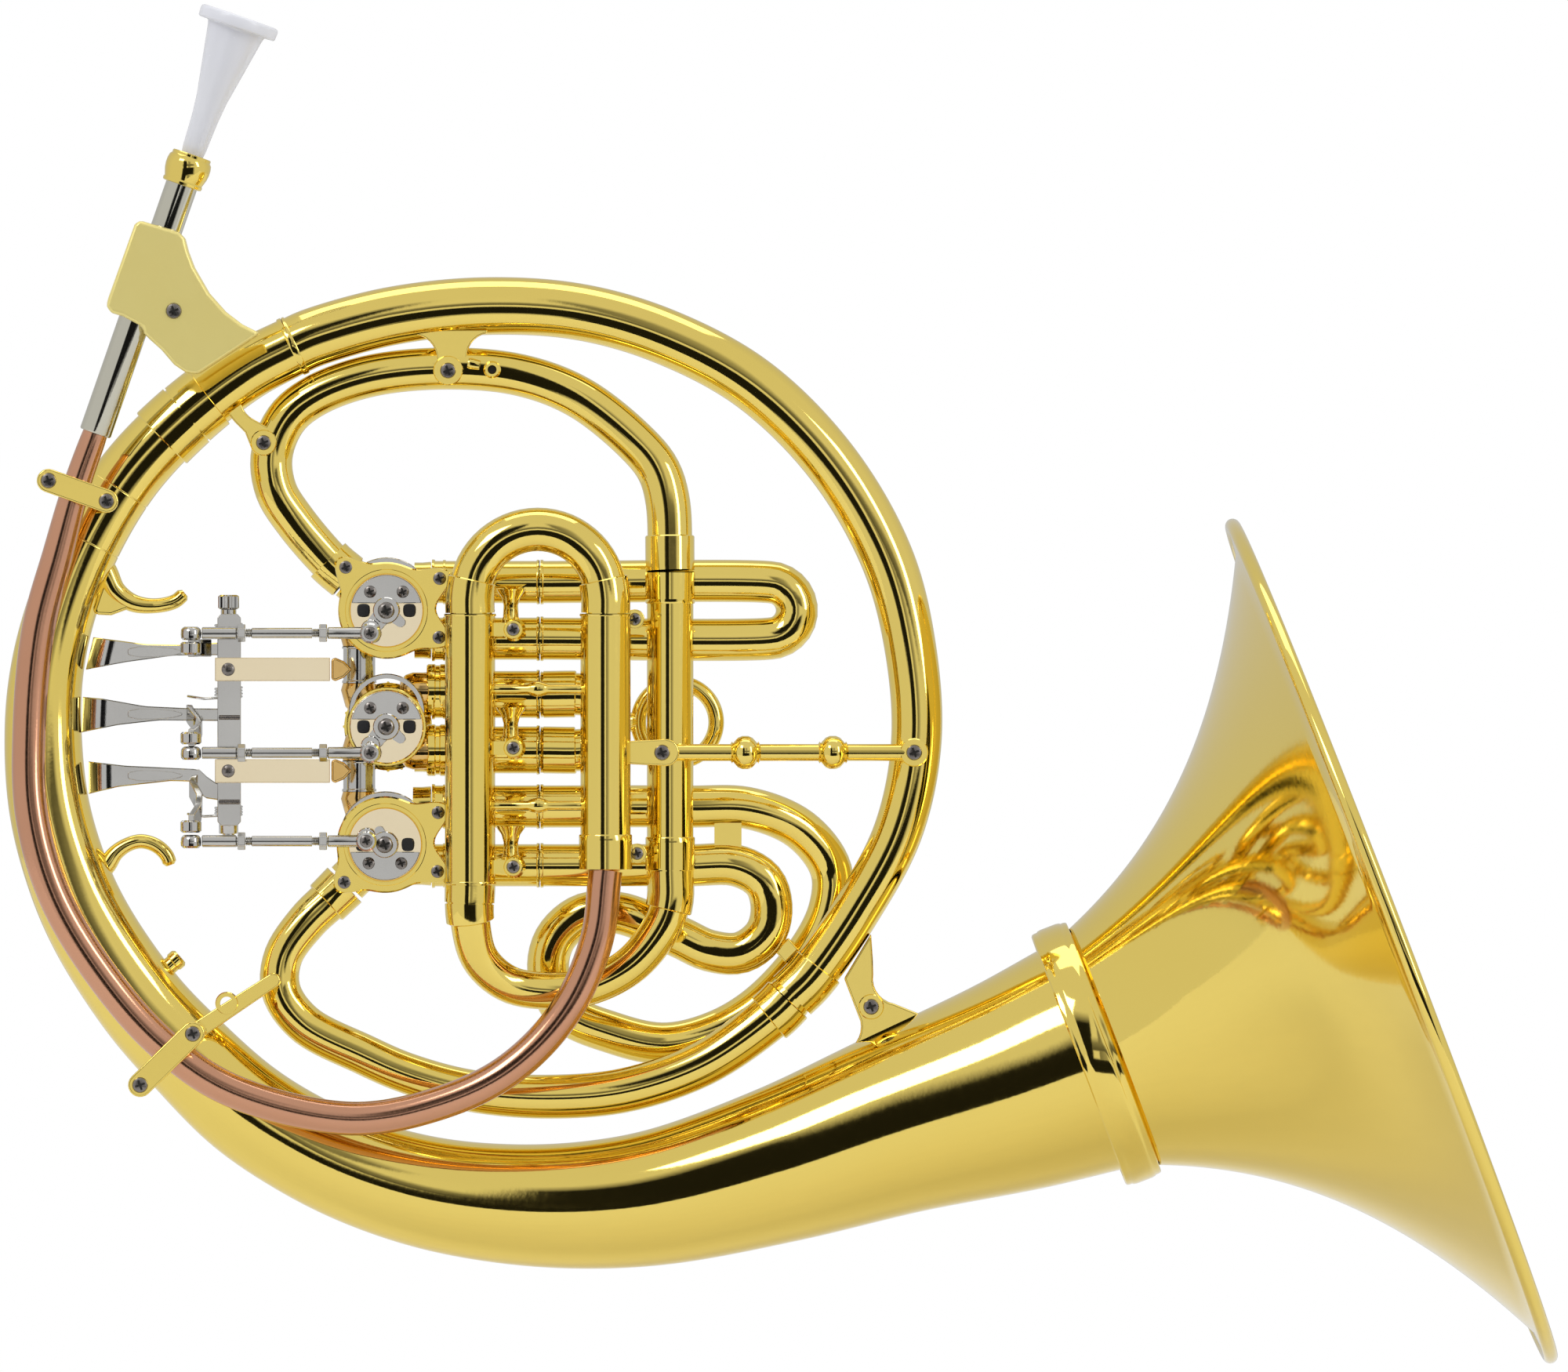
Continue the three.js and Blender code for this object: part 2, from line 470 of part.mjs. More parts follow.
for (const valve of VALVES) {
  const { number, x, z, turn } = valve;
  const solids = [
    ring(x, z, CASING_BORE - 1, CASING_RADIUS, CASING_FRONT - 0.5, CASING_BACK),
    ring(x, z, 12.7, FLANGE_RADIUS, CASING_FRONT - 5, CASING_FRONT),
  ];
  const bores = [disc(x, z, CASING_BORE, CASING_FRONT - 1, CASING_BACK + 1, 16)];
  for (const [dx, dz] of earPlaces[number]) {
    const inner = [x + dx * 0.6, z + dz * 0.6];
    solids.push(link(inner, [x + dx, z + dz], 3.4, CASING_FRONT - 4.6, CASING_FRONT - 1));
    bores.push(disc(x, z, 12.7, CASING_FRONT - 6, CASING_FRONT - 0.6, 16));
  }
  for (const [from, to] of knuckleEnds[number]) {
    solids.push(stub(from, to, KNUCKLE_RADIUS));
    const past = to[1] + Math.sign(to[1] - from[1]);
    bores.push(stub([from[0] + 4, from[1]], [to[0], past], KNUCKLE_RADIUS - 1.4));
  }
  if (outerPorts[number]) {
    const [px, pz, reach] = outerPorts[number];
    solids.push(stub([x + px * 8, z + pz * 8], [x + px * reach, z + pz * reach], 6.9));
    bores.push(stub([x + px * 6, z + pz * 6], [x + px * (reach + 1), z + pz * (reach + 1)], 5.4));
  }
  for (const height of [valve.slideTop, valve.slideLow]) {
    solids.push(sideways(height, x + 6, SLEEVE_START_X - GAP, valve.slideRadius - 0.6));
    bores.push(sideways(height, x + 5, SLEEVE_START_X + 1, valve.slideRadius - 2));
  }
  part(`valve_casing_${number}`, build(solids, bores), gold);

  // The rotor has two curved air passages, each bent round a corner of the port pattern.
  const passages = [-1, 1].map((side) => {
    const torus = new THREE.TorusGeometry(9, 4.2, 6, 10);
    torus.rotateX(Math.PI / 2);
    torus.translate(x + side * 11, PORT_Y + 1, z);
    return torus;
  });
  part(`rotor_${number}`, build([
    turned(x, z, [
      [0, -17.4], [3, -17.4], [3, -8.8], [11.2, -8.8], [11.2, 13], [3, 13], [3, 15.6], [0, 15.6],
    ]),
  ], passages), roseBrass);
  part(`bearing_plate_${number}`, ring(x, z, 3.4, 12.3, CASING_FRONT - 4, CASING_FRONT - 0.6), paleGold);
  part(`valve_cap_${number}`, turned(x, z, [
    [0, 16.6], [3.4, 16.6], [3.4, 14.4], [11, 14.4], [11, CASING_BACK + GAP],
    [FLANGE_RADIUS - 1.4, CASING_BACK + GAP], [FLANGE_RADIUS - 1.4, 20.4], [FLANGE_RADIUS - 3, 21.4],
    [0, 21.4],
  ]), gold);

  const arm = turn < 0 ? [-5.2, -6.2] : [-6, 2.4];
  part(`stop_arm_${number}`, build([
    disc(x, z, 4.4, -20, -17.8), link([x, z], [x + arm[0], z + arm[1]], 2.4, -19.8, -18),
    link([x, z], [x - arm[1] * 0.75, z + arm[0] * 0.75 * -turn], 1.8, -19.6, -18.1),
    disc(x + arm[0], z + arm[1], 3.2, -20, -18),
  ]), nickel);

  // Two rubber stops on one strip, clear of the stem.
  const stripZ = z - 5 * turn;
  part(`stop_bumpers_${number}`, build([
    box(x - 9.4, x + 9.4, -14.6, CASING_FRONT - 4 - GAP, stripZ - 1, stripZ + 1),
    ...[-1, 1].map((side) => box(
      x + side * 7.6 - 1.7, x + side * 7.6 + 1.7, -17, CASING_FRONT - 4 - GAP,
      Math.min(stripZ - 1, z - 2.4), Math.max(stripZ + 1, z + 2.4),
    )),
  ]), rubber);
}

// ---------------------------------------------------------------- valve slides
function levelTube(z, radius, x0, x1, wall, sides = TUBE_SIDES) {
  return pipe([[x0, VALVE_TUBE_Y, z, radius], [x1, VALVE_TUBE_Y, z, radius]], { wall, sides });
}
function levelUBend(valve, endX, radius) {
  const half = (valve.slideTop - valve.slideLow) / 2;
  const middle = (valve.slideTop + valve.slideLow) / 2;
  const points = [
    [INSERTED_START_X, VALVE_TUBE_Y, valve.slideTop, radius],
    [SLEEVE_END_X, VALVE_TUBE_Y, valve.slideTop, radius],
  ];
  for (let i = 0; i <= 6; i += 1) {
    const angle = Math.PI / 2 - (Math.PI * i) / 6;
    points.push([endX + half * Math.cos(angle), VALVE_TUBE_Y, middle + half * Math.sin(angle), radius]);
  }
  points.push(
    [SLEEVE_END_X, VALVE_TUBE_Y, valve.slideLow, radius],
    [INSERTED_START_X, VALVE_TUBE_Y, valve.slideLow, radius],
  );
  return points;
}
// The slide's tube with its two thinner legs, which run inside the sleeves.
function slideTube(points, outerRadius, legRadius) {
  const bands = [[SLEEVE_END_X + GAP - INSERTED_START_X, legRadius - outerRadius]];
  return pipe(points, { wall: outerRadius - legRadius + 0.8, first: bands, final: bands });
}
for (const valve of VALVES) {
  const tubes = [valve.slideTop, valve.slideLow].map(
    (z) => levelTube(z, valve.slideRadius, SLEEVE_START_X, SLEEVE_END_X, 1.3),
  );
  const middle = (valve.slideTop + valve.slideLow) / 2;
  const reach = (valve.slideTop - valve.slideLow) / 2 - valve.slideRadius + 1;
  tubes.push(box(84, 88, VALVE_TUBE_Y - 2, VALVE_TUBE_Y + 2, middle - reach, middle + reach));
  part(`slide_sleeves_${valve.number}`, build(tubes), gold);
}
part('valve_slide_1', slideTube(levelUBend(VALVES[0], 179, 7), 7, 5.4), gold);
const pullRing = new THREE.TorusGeometry(12.9, 2.7, 6, 18);
pullRing.rotateX(Math.PI / 2);
pullRing.translate(148.7, VALVE_TUBE_Y, 1);
const pullRingLug = box(132.3, 136, VALVE_TUBE_Y - 2.2, VALVE_TUBE_Y + 2.2, -1.6, 3.6);
part('valve_slide_2', build([slideTube(levelUBend(VALVES[1], 117, 7), 7, 6.2), pullRing, pullRingLug]), gold);
const thirdLoop = [
  [INSERTED_START_X, VALVE_TUBE_Y, -27, 7], [SLEEVE_END_X, VALVE_TUBE_Y, -27, 7],
  [152, VALVE_TUBE_Y, -27, 7], [172.6, 9, -27.6, 7], [190, 14, -35, 7],
  [199.7, 17, -48, 7], [199.2, 17, -61, 7], [192, 17, -75.4, 7], [176.3, 17, -92.8, 7],
  [161.2, 16.5, -101.9, 7],
  [144.3, 16, -105.8, 7], [127, 15.5, -102.2, 7], [111.3, 15, -94.9, 7], [105.8, 14.5, -82, 7],
  [108, 13.5, -71, 7], [117, 12.5, -63, 7], [129.5, 11.5, -62.4, 7], [149, 10, -70.2, 7],
  [159.4, 9, -74.9, 7],
  [169.8, 8, -75.5, 7], [177.6, 7.5, -69.7, 7], [180, 7, -61, 7], [177.5, 6.3, -52, 7],
  [168.7, VALVE_TUBE_Y, -46.7, 7], [152, VALVE_TUBE_Y, -46.5, 7], [SLEEVE_END_X, VALVE_TUBE_Y, -46.5, 7],
  [INSERTED_START_X, VALVE_TUBE_Y, -46.5, 7],
];
part('valve_slide_3', build([
  slideTube(thirdLoop, 7, 5.4),
  box(161, 170, 4, 9, -41.5, -32.5), box(182.4, 186, 9, 14, -76.5, -68),
]), gold);

// ---------------------------------------------------------------- levers
const leverParts = [
  {
    number: 1, low: 22.9, high: 36, eye: [23.4, 27.6], spring: [29.5, 34],
    paddle: [[-47.5, 18.2], [-44.7, 29.4], [-27.6, 26.8], [-2, 27.5], [-2, 23.2], [-18, 23.1], [-34, 20.8]],
  },
  {
    number: 2, low: -10.7, high: 14.1, eye: [-6.3, -2.2], spring: [8, 13],
    paddle: [
      [-49, -2.6], [-48.4, 9.6], [-41.6, 8.8], [-27.6, 6.2], [-2, 5.5], [-2, 1.4], [-23, 1.6], [-36.4, 0],
    ],
  },
  {
    number: 3, low: -36, high: -19.6, eye: [-35.5, -31.4], spring: [-31, -26.5],
    paddle: [
      [-46.5, -23.1], [-48, -11.7], [-34.3, -13.3], [-7, -14.6], [-7, -20], [-2, -20], [-2, -25],
      [-10, -25],
      [-12, -18.6], [-19.2, -18.5], [-36.4, -20.5],
    ],
  },
];
const rodHeights = [30.5, -9.1, -38.3];
for (const { number, low, high, paddle, eye, spring } of leverParts) {
  const [eyeLow, eyeHigh] = eye;
  const angle = Math.atan2(ROD_Y - SHAFT_Y, ROD_LEFT_X);
  const arm = new THREE.BoxGeometry(Math.hypot(ROD_LEFT_X, ROD_Y - SHAFT_Y), 4, eyeHigh - eyeLow);
  arm.rotateZ(angle);
  arm.translate(ROD_LEFT_X / 2, (ROD_Y + SHAFT_Y) / 2, (eyeLow + eyeHigh) / 2);
  part(`lever_${number}`, build(
    [
      post(0, SHAFT_Y, 3.8, low, high, 16), plate(paddle, SHAFT_Y - 2.2, SHAFT_Y - 0.4), arm,
      post(ROD_LEFT_X, ROD_Y, 3.6, eyeLow, eyeHigh),
    ],
    [post(0, SHAFT_Y, LEVER_BORE, low - 2, high + 2, 16)],
  ), nickel);
  const coil = new THREE.LatheGeometry([
    new THREE.Vector2(4.1, spring[0]), new THREE.Vector2(5.2, spring[0]), new THREE.Vector2(5.2, spring[1]),
    new THREE.Vector2(4.1, spring[1]), new THREE.Vector2(4.1, spring[0]),
  ], 14);
  coil.rotateX(Math.PI / 2);
  coil.translate(0, SHAFT_Y, 0);
  const springLeg = box(0, 14, SHAFT_Y + 4.2, SHAFT_Y + 5.1, spring[0] + 1.6, spring[0] + 2.6);
  part(`lever_spring_${number}`, build([coil, springLeg]), nickel);

  const valve = VALVES[number - 1];
  const eyeX = valve.x + (valve.turn < 0 ? -5.2 : -6);
  const z = rodHeights[number - 1];
  const rodProfile = [
    [-9, 2], [3, 2], [3, 1.7], [3.6, 1.7], [3.6, 3], [6, 3], [6, 1.2], [8.4, 1.2], [8.4, ROD_RADIUS],
    [28.4, ROD_RADIUS], [28.4, 1.2], [30.6, 1.2], [30.6, 3], [33, 3], [33, 2], [eyeX - 1, 2],
  ];
  const rod = new THREE.LatheGeometry([
    new THREE.Vector2(0, rodProfile[0][0]), ...rodProfile.map(([x, r]) => new THREE.Vector2(r, x)),
    new THREE.Vector2(0, eyeX - 1),
  ], 8);
  rod.rotateZ(-Math.PI / 2);
  rod.translate(0, ROD_Y, z);
  const rodBall = post(ROD_LEFT_X, ROD_Y, 3.5, z - 2.3, z + 2.3);
  const rodEye = disc(eyeX, z, 3.4, ROD_Y - 2.8, ROD_Y + 2.9);
  part(`link_rod_${number}`, build([rod, rodBall, rodEye]), nickel);
}
part('lever_shaft', build([
  post(0, SHAFT_Y, SHAFT_RADIUS, -38, 38),
  post(0, SHAFT_Y, 3.6, -40.4, -36.4, 10),
  post(0, SHAFT_Y, 3.6, 36.4, 43.4, 10),
]), nickel);
const supportHeights = { upper: [14.6, 22.4], lower: [-19.1, -11.2] };
for (const [place, [low, high]] of Object.entries(supportHeights)) {
  const middle = (low + high) / 2;
  part(`lever_support_${place}`, build(
    [
      plate([[-4.4, low], [-4.4, high], [34.3, high], [41, middle], [34.3, low]], SHAFT_Y - 5, SHAFT_Y - 3.4),
      box(-3.8, 3.8, SHAFT_Y - 4, SHAFT_Y + 3, low, high),
      box(33, 38, SHAFT_Y - 4, SHAFT_Y + 6, middle - 2.2, middle + 2.2),
    ],
    [
      post(0, SHAFT_Y, LEVER_BORE, low - 2, high + 2, 16),
      post(KNUCKLE_X, PORT_Y, KNUCKLE_RADIUS + GAP, low - 2, high + 2, 16),
    ],
  ), paleGold);
}

// ---------------------------------------------------------------- hooks, braces and clamps
const fingerHook = [
  [-46, 0, 58, 4.2], [-41, 0, 51, 4], [-37.6, 0, 44.6, 3.5], [-32, 0, 40.6, 3], [-25, 0, 39.6, 2.5],
  [-18, 0, 41, 2.4], [-14.6, 0, 43.8, 2.3],
];
const littleFingerHook = [
  [-50, 0, -54, 3.6], [-41, 0, -47, 3.2], [-37.6, 0, -42.4, 2.7], [-33.5, 0, -39.6, 2.4],
  [-29, 0, -38.5, 2.4], [-24, 0, -40, 2.4], [-20.6, 0, -43.2, 2.4], [-19.4, 0, -46.4, 2.3],
];
part('finger_hook', build([bar(fingerHook)], [bellTailClearance]), gold);
part('little_finger_hook', build([bar(littleFingerHook)], [bellTailClearance]), gold);

const braceZ = -9;
part('cross_brace', build([
  bar([
    [140, -21.4, braceZ, 2.8], [156, -21, braceZ, 2.8], [165, -18.6, braceZ, 2.8], [167, -18, braceZ, 3.8],
    [171.3, -17.8, braceZ, 5.6], [176, -17.2, braceZ, 3.8], [178, -17, braceZ, 2.8],
    [194, -15.4, braceZ, 2.8], [196, -15, braceZ, 3.8], [200.4, -14.8, braceZ, 5.6],
    [205, -14.2, braceZ, 3.8], [207, -14, braceZ, 2.8], [224, -12.4, braceZ, 2.8],
  ], { sides: 10 }),
  box(131.6, 148.6, -22.4, -18, braceZ - 4.3, braceZ + 4.3),
  disc(227.2, braceZ, 4.6, -15.4, -9.2, 12),
], [ringClearance, post(RIGHT_LEG_X, LEG_Y, LEG_RADIUS + GAP, -50, 50)]), gold);
part('bell_brace', build([plate([
  [203, -78], [216, -64], [214.6, -88], [219, -94], [230, -98], [228, -106], [200, -117], [202.5, -106],
  [209, -96], [209, -88],
], -3.2, 3.2)], [ringClearance, bellTailClearance]), gold);
part('upper_clamp', build([
  link([-59, 80.9], [-39.8, 74.1], 3.8, -27.6, -24.9), disc(-39.8, 74.1, 3.4, -26, -4, 12),
], [bellTailClearance]), gold);
part('lower_clamp', build([
  link([-11.2, -101.9], [-28.6, -118.8], 4, -32.4, -29.2), disc(-10.2, -101.1, 2.8, -30, -4, 12),
  link([-10.6, -101.5], [15, -84.5], 2.6, -17.6, -14.2), disc(15, -84.5, 2.6, -17, -2, 12),
], [bellTailClearance, branchClearance]), gold);

export default horn;
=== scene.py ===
"""French horn: the looks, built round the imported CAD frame. Lengths in the tables are millimetres."""
import math

import bpy
import numpy as np
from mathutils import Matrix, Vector


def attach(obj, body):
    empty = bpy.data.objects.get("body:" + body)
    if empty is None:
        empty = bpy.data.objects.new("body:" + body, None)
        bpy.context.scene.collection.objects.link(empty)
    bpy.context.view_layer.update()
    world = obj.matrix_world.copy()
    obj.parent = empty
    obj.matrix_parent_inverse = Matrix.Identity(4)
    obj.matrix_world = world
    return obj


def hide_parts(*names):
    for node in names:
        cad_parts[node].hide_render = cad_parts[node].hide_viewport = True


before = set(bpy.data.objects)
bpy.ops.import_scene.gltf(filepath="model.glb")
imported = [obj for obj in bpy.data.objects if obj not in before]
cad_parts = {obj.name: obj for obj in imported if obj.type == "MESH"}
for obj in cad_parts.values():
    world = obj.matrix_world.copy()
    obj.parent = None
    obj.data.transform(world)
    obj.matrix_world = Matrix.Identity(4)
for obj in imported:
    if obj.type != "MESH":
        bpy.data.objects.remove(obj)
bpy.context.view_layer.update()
MM = 0.001
FLOOR_Z = -0.27

# ------------------------------------------------------------------ driving dimensions, as in the CAD
LEG_Y, INNER_LEG_Y, TUBE_Y, PORT_Y, LEAD_Y = -24, -10, 6, 2, -19
SHAFT_Y, ROD_Y = -4, -23.5
LEFT_X, RIGHT_X, INNER_X = 80.3, 125.1, 146.4
LEG_TOP = 36.9
SLEEVE_X, SLIDE_X, INSERT_X = 67.3, 103, 70
KNUCKLE_X, EYE_X, CRANK_HALF, BRACE_Z = 43.2, -12, 2.9, -9
STANDOFF_X, STANDOFF_HEIGHTS = 94.6, (31.7, -7.5, -46.8)
RIM = np.array([387.7, 0, -70.7])
BELL_AXIS = np.array([0.934, 0, 0.357]) / math.hypot(0.934, 0.357)
RIM_R, THROAT_R, FLARE, BELL_LEN, BEAD = 148, 18, 0.0168, 106.8, 2.4
LEAD_FOOT = np.array([-43.8, LEAD_Y, 96.6])
LEAD_DIR = np.array([29.5, 0, 84.6]) / math.hypot(29.5, 84.6)
VALVES = {
    1: dict(x=52.5, z=38, top=47.5, low=28.7, r=7, turn=-1),
    2: dict(x=52.5, z=-0.5, top=10.2, low=-8.2, r=7.8, turn=-1),
    3: dict(x=52, z=-39.5, top=-27, low=-46.5, r=7, turn=1),
}

# ------------------------------------------------------------------ materials


def add_node(nodes, kind, values=None, **settings):
    """A new node with its settings and input values."""
    node = nodes.new(kind)
    for key, value in settings.items():
        setattr(node, key, value)
    for key, value in (values or {}).items():
        node.inputs[key].default_value = value
    return node


def shade(name, low, high, rough, metallic=1.0, grain=40.0, bump=0.02, bump_scale=900.0, streak=None,
          extra=None):
    """A procedural material: noise moves colour and roughness, and fine noise or streaks make the bump."""
    material = bpy.data.materials.new(name)
    material.use_nodes = True
    nodes, links = material.node_tree.nodes, material.node_tree.links
    shader = nodes["Principled BSDF"]
    place = add_node(nodes, "ShaderNodeTexCoord").outputs["Object"]
    drift = add_node(nodes, "ShaderNodeTexNoise", {"Scale": grain, "Detail": 4})
    links.new(place, drift.inputs["Vector"])
    colour = add_node(nodes, "ShaderNodeMix", {"A": (*low, 1), "B": (*high, 1)}, data_type="RGBA")
    links.new(drift.outputs["Fac"], colour.inputs["Factor"])
    links.new(colour.outputs["Result"], shader.inputs["Base Color"])
    fine = add_node(nodes, "ShaderNodeTexNoise", {"Scale": bump_scale, "Detail": 3})
    if streak:
        stretch = add_node(nodes, "ShaderNodeMapping", {"Scale": streak})
        links.new(place, stretch.inputs["Vector"])
        place = stretch.outputs["Vector"]
    links.new(place, fine.inputs["Vector"])
    spread = add_node(nodes, "ShaderNodeMapRange", {"To Min": rough[0], "To Max": rough[1]})
    links.new(fine.outputs["Fac"], spread.inputs["Value"])
    links.new(spread.outputs["Result"], shader.inputs["Roughness"])
    relief = add_node(nodes, "ShaderNodeBump", {"Strength": bump, "Distance": 0.0003})
    links.new(fine.outputs["Fac"], relief.inputs["Height"])
    links.new(relief.outputs["Normal"], shader.inputs["Normal"])
    for key, value in {"Metallic": metallic, **(extra or {})}.items():
        shader.inputs[key].default_value = value
    return material


GOLD = shade(
    "gold_plate", (0.89, 0.68, 0.155), (0.94, 0.735, 0.20), (0.03, 0.09), grain=9, bump=0.02,
    bump_scale=500,
)
SATIN = shade(
    "satin_gold", (0.96, 0.80, 0.26), (1.0, 0.87, 0.34), (0.27, 0.37), 0.3, grain=30, bump=0.1,
    bump_scale=2600,
)
CHROME = shade("chrome_tube", (0.58, 0.56, 0.47), (0.66, 0.64, 0.54), (0.04, 0.09), grain=20, bump=0.02)
ROSE = shade("rose_brass", (0.60, 0.29, 0.17), (0.72, 0.38, 0.235), (0.12, 0.2), grain=18, bump=0.03,
             extra={"Coat Weight": 0.3, "Coat Roughness": 0.1})
PALE = shade("pale_gold", (0.96, 0.81, 0.54), (1.0, 0.87, 0.62), (0.04, 0.09), grain=35, bump=0.03)
AMBER = shade("amber_gold", (0.70, 0.42, 0.12), (0.86, 0.58, 0.22), (0.05, 0.12), grain=26, bump=0.03)
NICKEL = shade(
    "nickel", (0.50, 0.49, 0.47), (0.66, 0.65, 0.62), (0.05, 0.11), grain=45, bump=0.02, bump_scale=1500,
    streak=(4, 1, 1),
)
STEEL = shade(
    "dark_steel", (0.16, 0.145, 0.135), (0.34, 0.31, 0.29), (0.2, 0.34), grain=420, bump=0.08,
    bump_scale=2200,
)
RUBBER = shade("stop_rubber", (0.006, 0.006, 0.007), (0.02, 0.02, 0.022), (0.4, 0.6), metallic=0, bump=0.3,
               bump_scale=3000)
PLASTIC = shade(
    "mouthpiece_plastic", (0.87, 0.88, 0.98), (0.93, 0.94, 1.0), (0.2, 0.3), metallic=0, grain=50,
    bump=0.04,
    extra={
        "Transmission Weight": 0.06, "Subsurface Weight": 0.3, "Subsurface Radius": (1, 1, 1),
        "Subsurface Scale": 0.004, "IOR": 1.49, "Coat Weight": 0.3, "Coat Roughness": 0.1,
    },
)
# Near-black: painted shade, put in the cross hollows of screw heads and in the vent's bore, where those
# hollows would lie in shade.
HOLLOW_SHADE = shade("hollow_shade", (0.012, 0.011, 0.010), (0.03, 0.028, 0.025), (0.4, 0.6), metallic=0.4)

# ------------------------------------------------------------------ mesh helpers


def piece(name, verts, faces, material, body="horn", replaces=(), sharp=38.0, bevel=0.0):
    """A mesh object, vertices in millimetres, that rides on a body."""
    mesh = bpy.data.meshes.new(name)
    mesh.from_pydata([tuple(v) for v in np.asarray(verts) * MM], [], [tuple(f) for f in faces])
    mesh.validate()
    mesh.polygons.foreach_set("use_smooth", [True] * len(mesh.polygons))
    mesh.set_sharp_from_angle(angle=math.radians(sharp))
    mesh.materials.append(material)
    obj = bpy.data.objects.new(name, mesh)
    bpy.context.scene.collection.objects.link(obj)
    if bevel:
        edge = obj.modifiers.new("edge", "BEVEL")
        edge.width = bevel * MM
        edge.segments = 2
        edge.limit_method = "ANGLE"
        edge.angle_limit = math.radians(40)
        edge.harden_normals = True
    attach(obj, body)
    for node in replaces:
        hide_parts(node)
    return obj


def merge(*shapes):
    """Several (verts, faces) shapes as one."""
    verts, faces, start = [], [], 0
    for v, f in shapes:
        verts.append(np.asarray(v, float))
        faces += [[i + start for i in face] for face in f]
        start += len(v)
    return np.vstack(verts), faces


def rings(rows, closed, flip=False):
    """Joins rows of points, each row a loop round the shape. Single-point rows are poles."""
    verts, starts = [], []
    for row in rows:
        starts.append(len(verts))
        verts += list(row)
    faces = []
    pairs = list(zip(range(len(rows) - 1), range(1, len(rows))))
    if closed:
        pairs.append((len(rows) - 1, 0))
    for a, b in pairs:
        na, nb = len(rows[a]), len(rows[b])
        n = max(na, nb)
        if n == 1:
            continue
        for i in range(n):
            j = (i + 1) % n
            if na == 1:
                face = [starts[a], starts[b] + j, starts[b] + i]
            elif nb == 1:
                face = [starts[a] + i, starts[a] + j, starts[b]]
            else:
                face = [starts[a] + i, starts[a] + j, starts[b] + j, starts[b] + i]
            faces.append(face[::-1] if flip else face)
    return np.array(verts), faces


def turned(profile, origin, axis, sides=48, closed=False):
    """A profile of (radius, distance along the axis) points turned round an axis."""
    axis = np.array(axis, float) / np.linalg.norm(axis)
    side = np.cross(axis, (0, 1, 0) if abs(axis[1]) < 0.9 else (0, 0, 1))
    side /= np.linalg.norm(side)
    other = np.cross(axis, side)
    angles = np.linspace(0, 2 * math.pi, sides, endpoint=False)
    round_ = np.outer(np.cos(angles), side) + np.outer(np.sin(angles), other)
    origin = np.array(origin, float)
    rows = []
    for r, s in profile:
        centre = origin + axis * s
        rows.append([centre] if r < 1e-6 else centre + round_ * r)
    return rings(rows, closed)


def fillet(profile, size=0.35):
    """Cuts each corner of a (radius, distance) profile with a small chamfer of two points."""
    out = [profile[0]]
    for before, here, after in zip(profile, profile[1:], profile[2:]):
        here_v = np.array(here, float)
        for other in (before, after):
            step = np.array(other, float) - here_v
            length = np.linalg.norm(step)
            cut = min(size, length * 0.4)
            out.append(tuple(here_v + step / max(length, 1e-9) * cut))
    out.append(profile[-1])
    return out


def dense(points, per=24):
    """Centripetal Catmull-Rom samples through [x, y, z, radius] points."""
    p = np.array(points, float)
    p = np.vstack([2 * p[0] - p[1], p, 2 * p[-1] - p[-2]])
    out = []
    for i in range(1, len(p) - 2):
        a, b, c, d = p[i - 1:i + 3]
        t = [0.0]
        for u, v in ((a, b), (b, c), (c, d)):
            t.append(t[-1] + max(np.linalg.norm((v - u)[:3]) ** 0.5, 1e-6))
        for s in np.linspace(t[1], t[2], per, endpoint=i == len(p) - 3):
            a1 = a + (b - a) * (s - t[0]) / (t[1] - t[0])
            a2 = b + (c - b) * (s - t[1]) / (t[2] - t[1])
            a3 = c + (d - c) * (s - t[2]) / (t[3] - t[2])
            b1 = a1 + (a2 - a1) * (s - t[0]) / (t[2] - t[0])
            b2 = a2 + (a3 - a2) * (s - t[1]) / (t[3] - t[1])
            out.append(b1 + (b2 - b1) * (s - t[1]) / (t[2] - t[1]))
    return np.array(out)


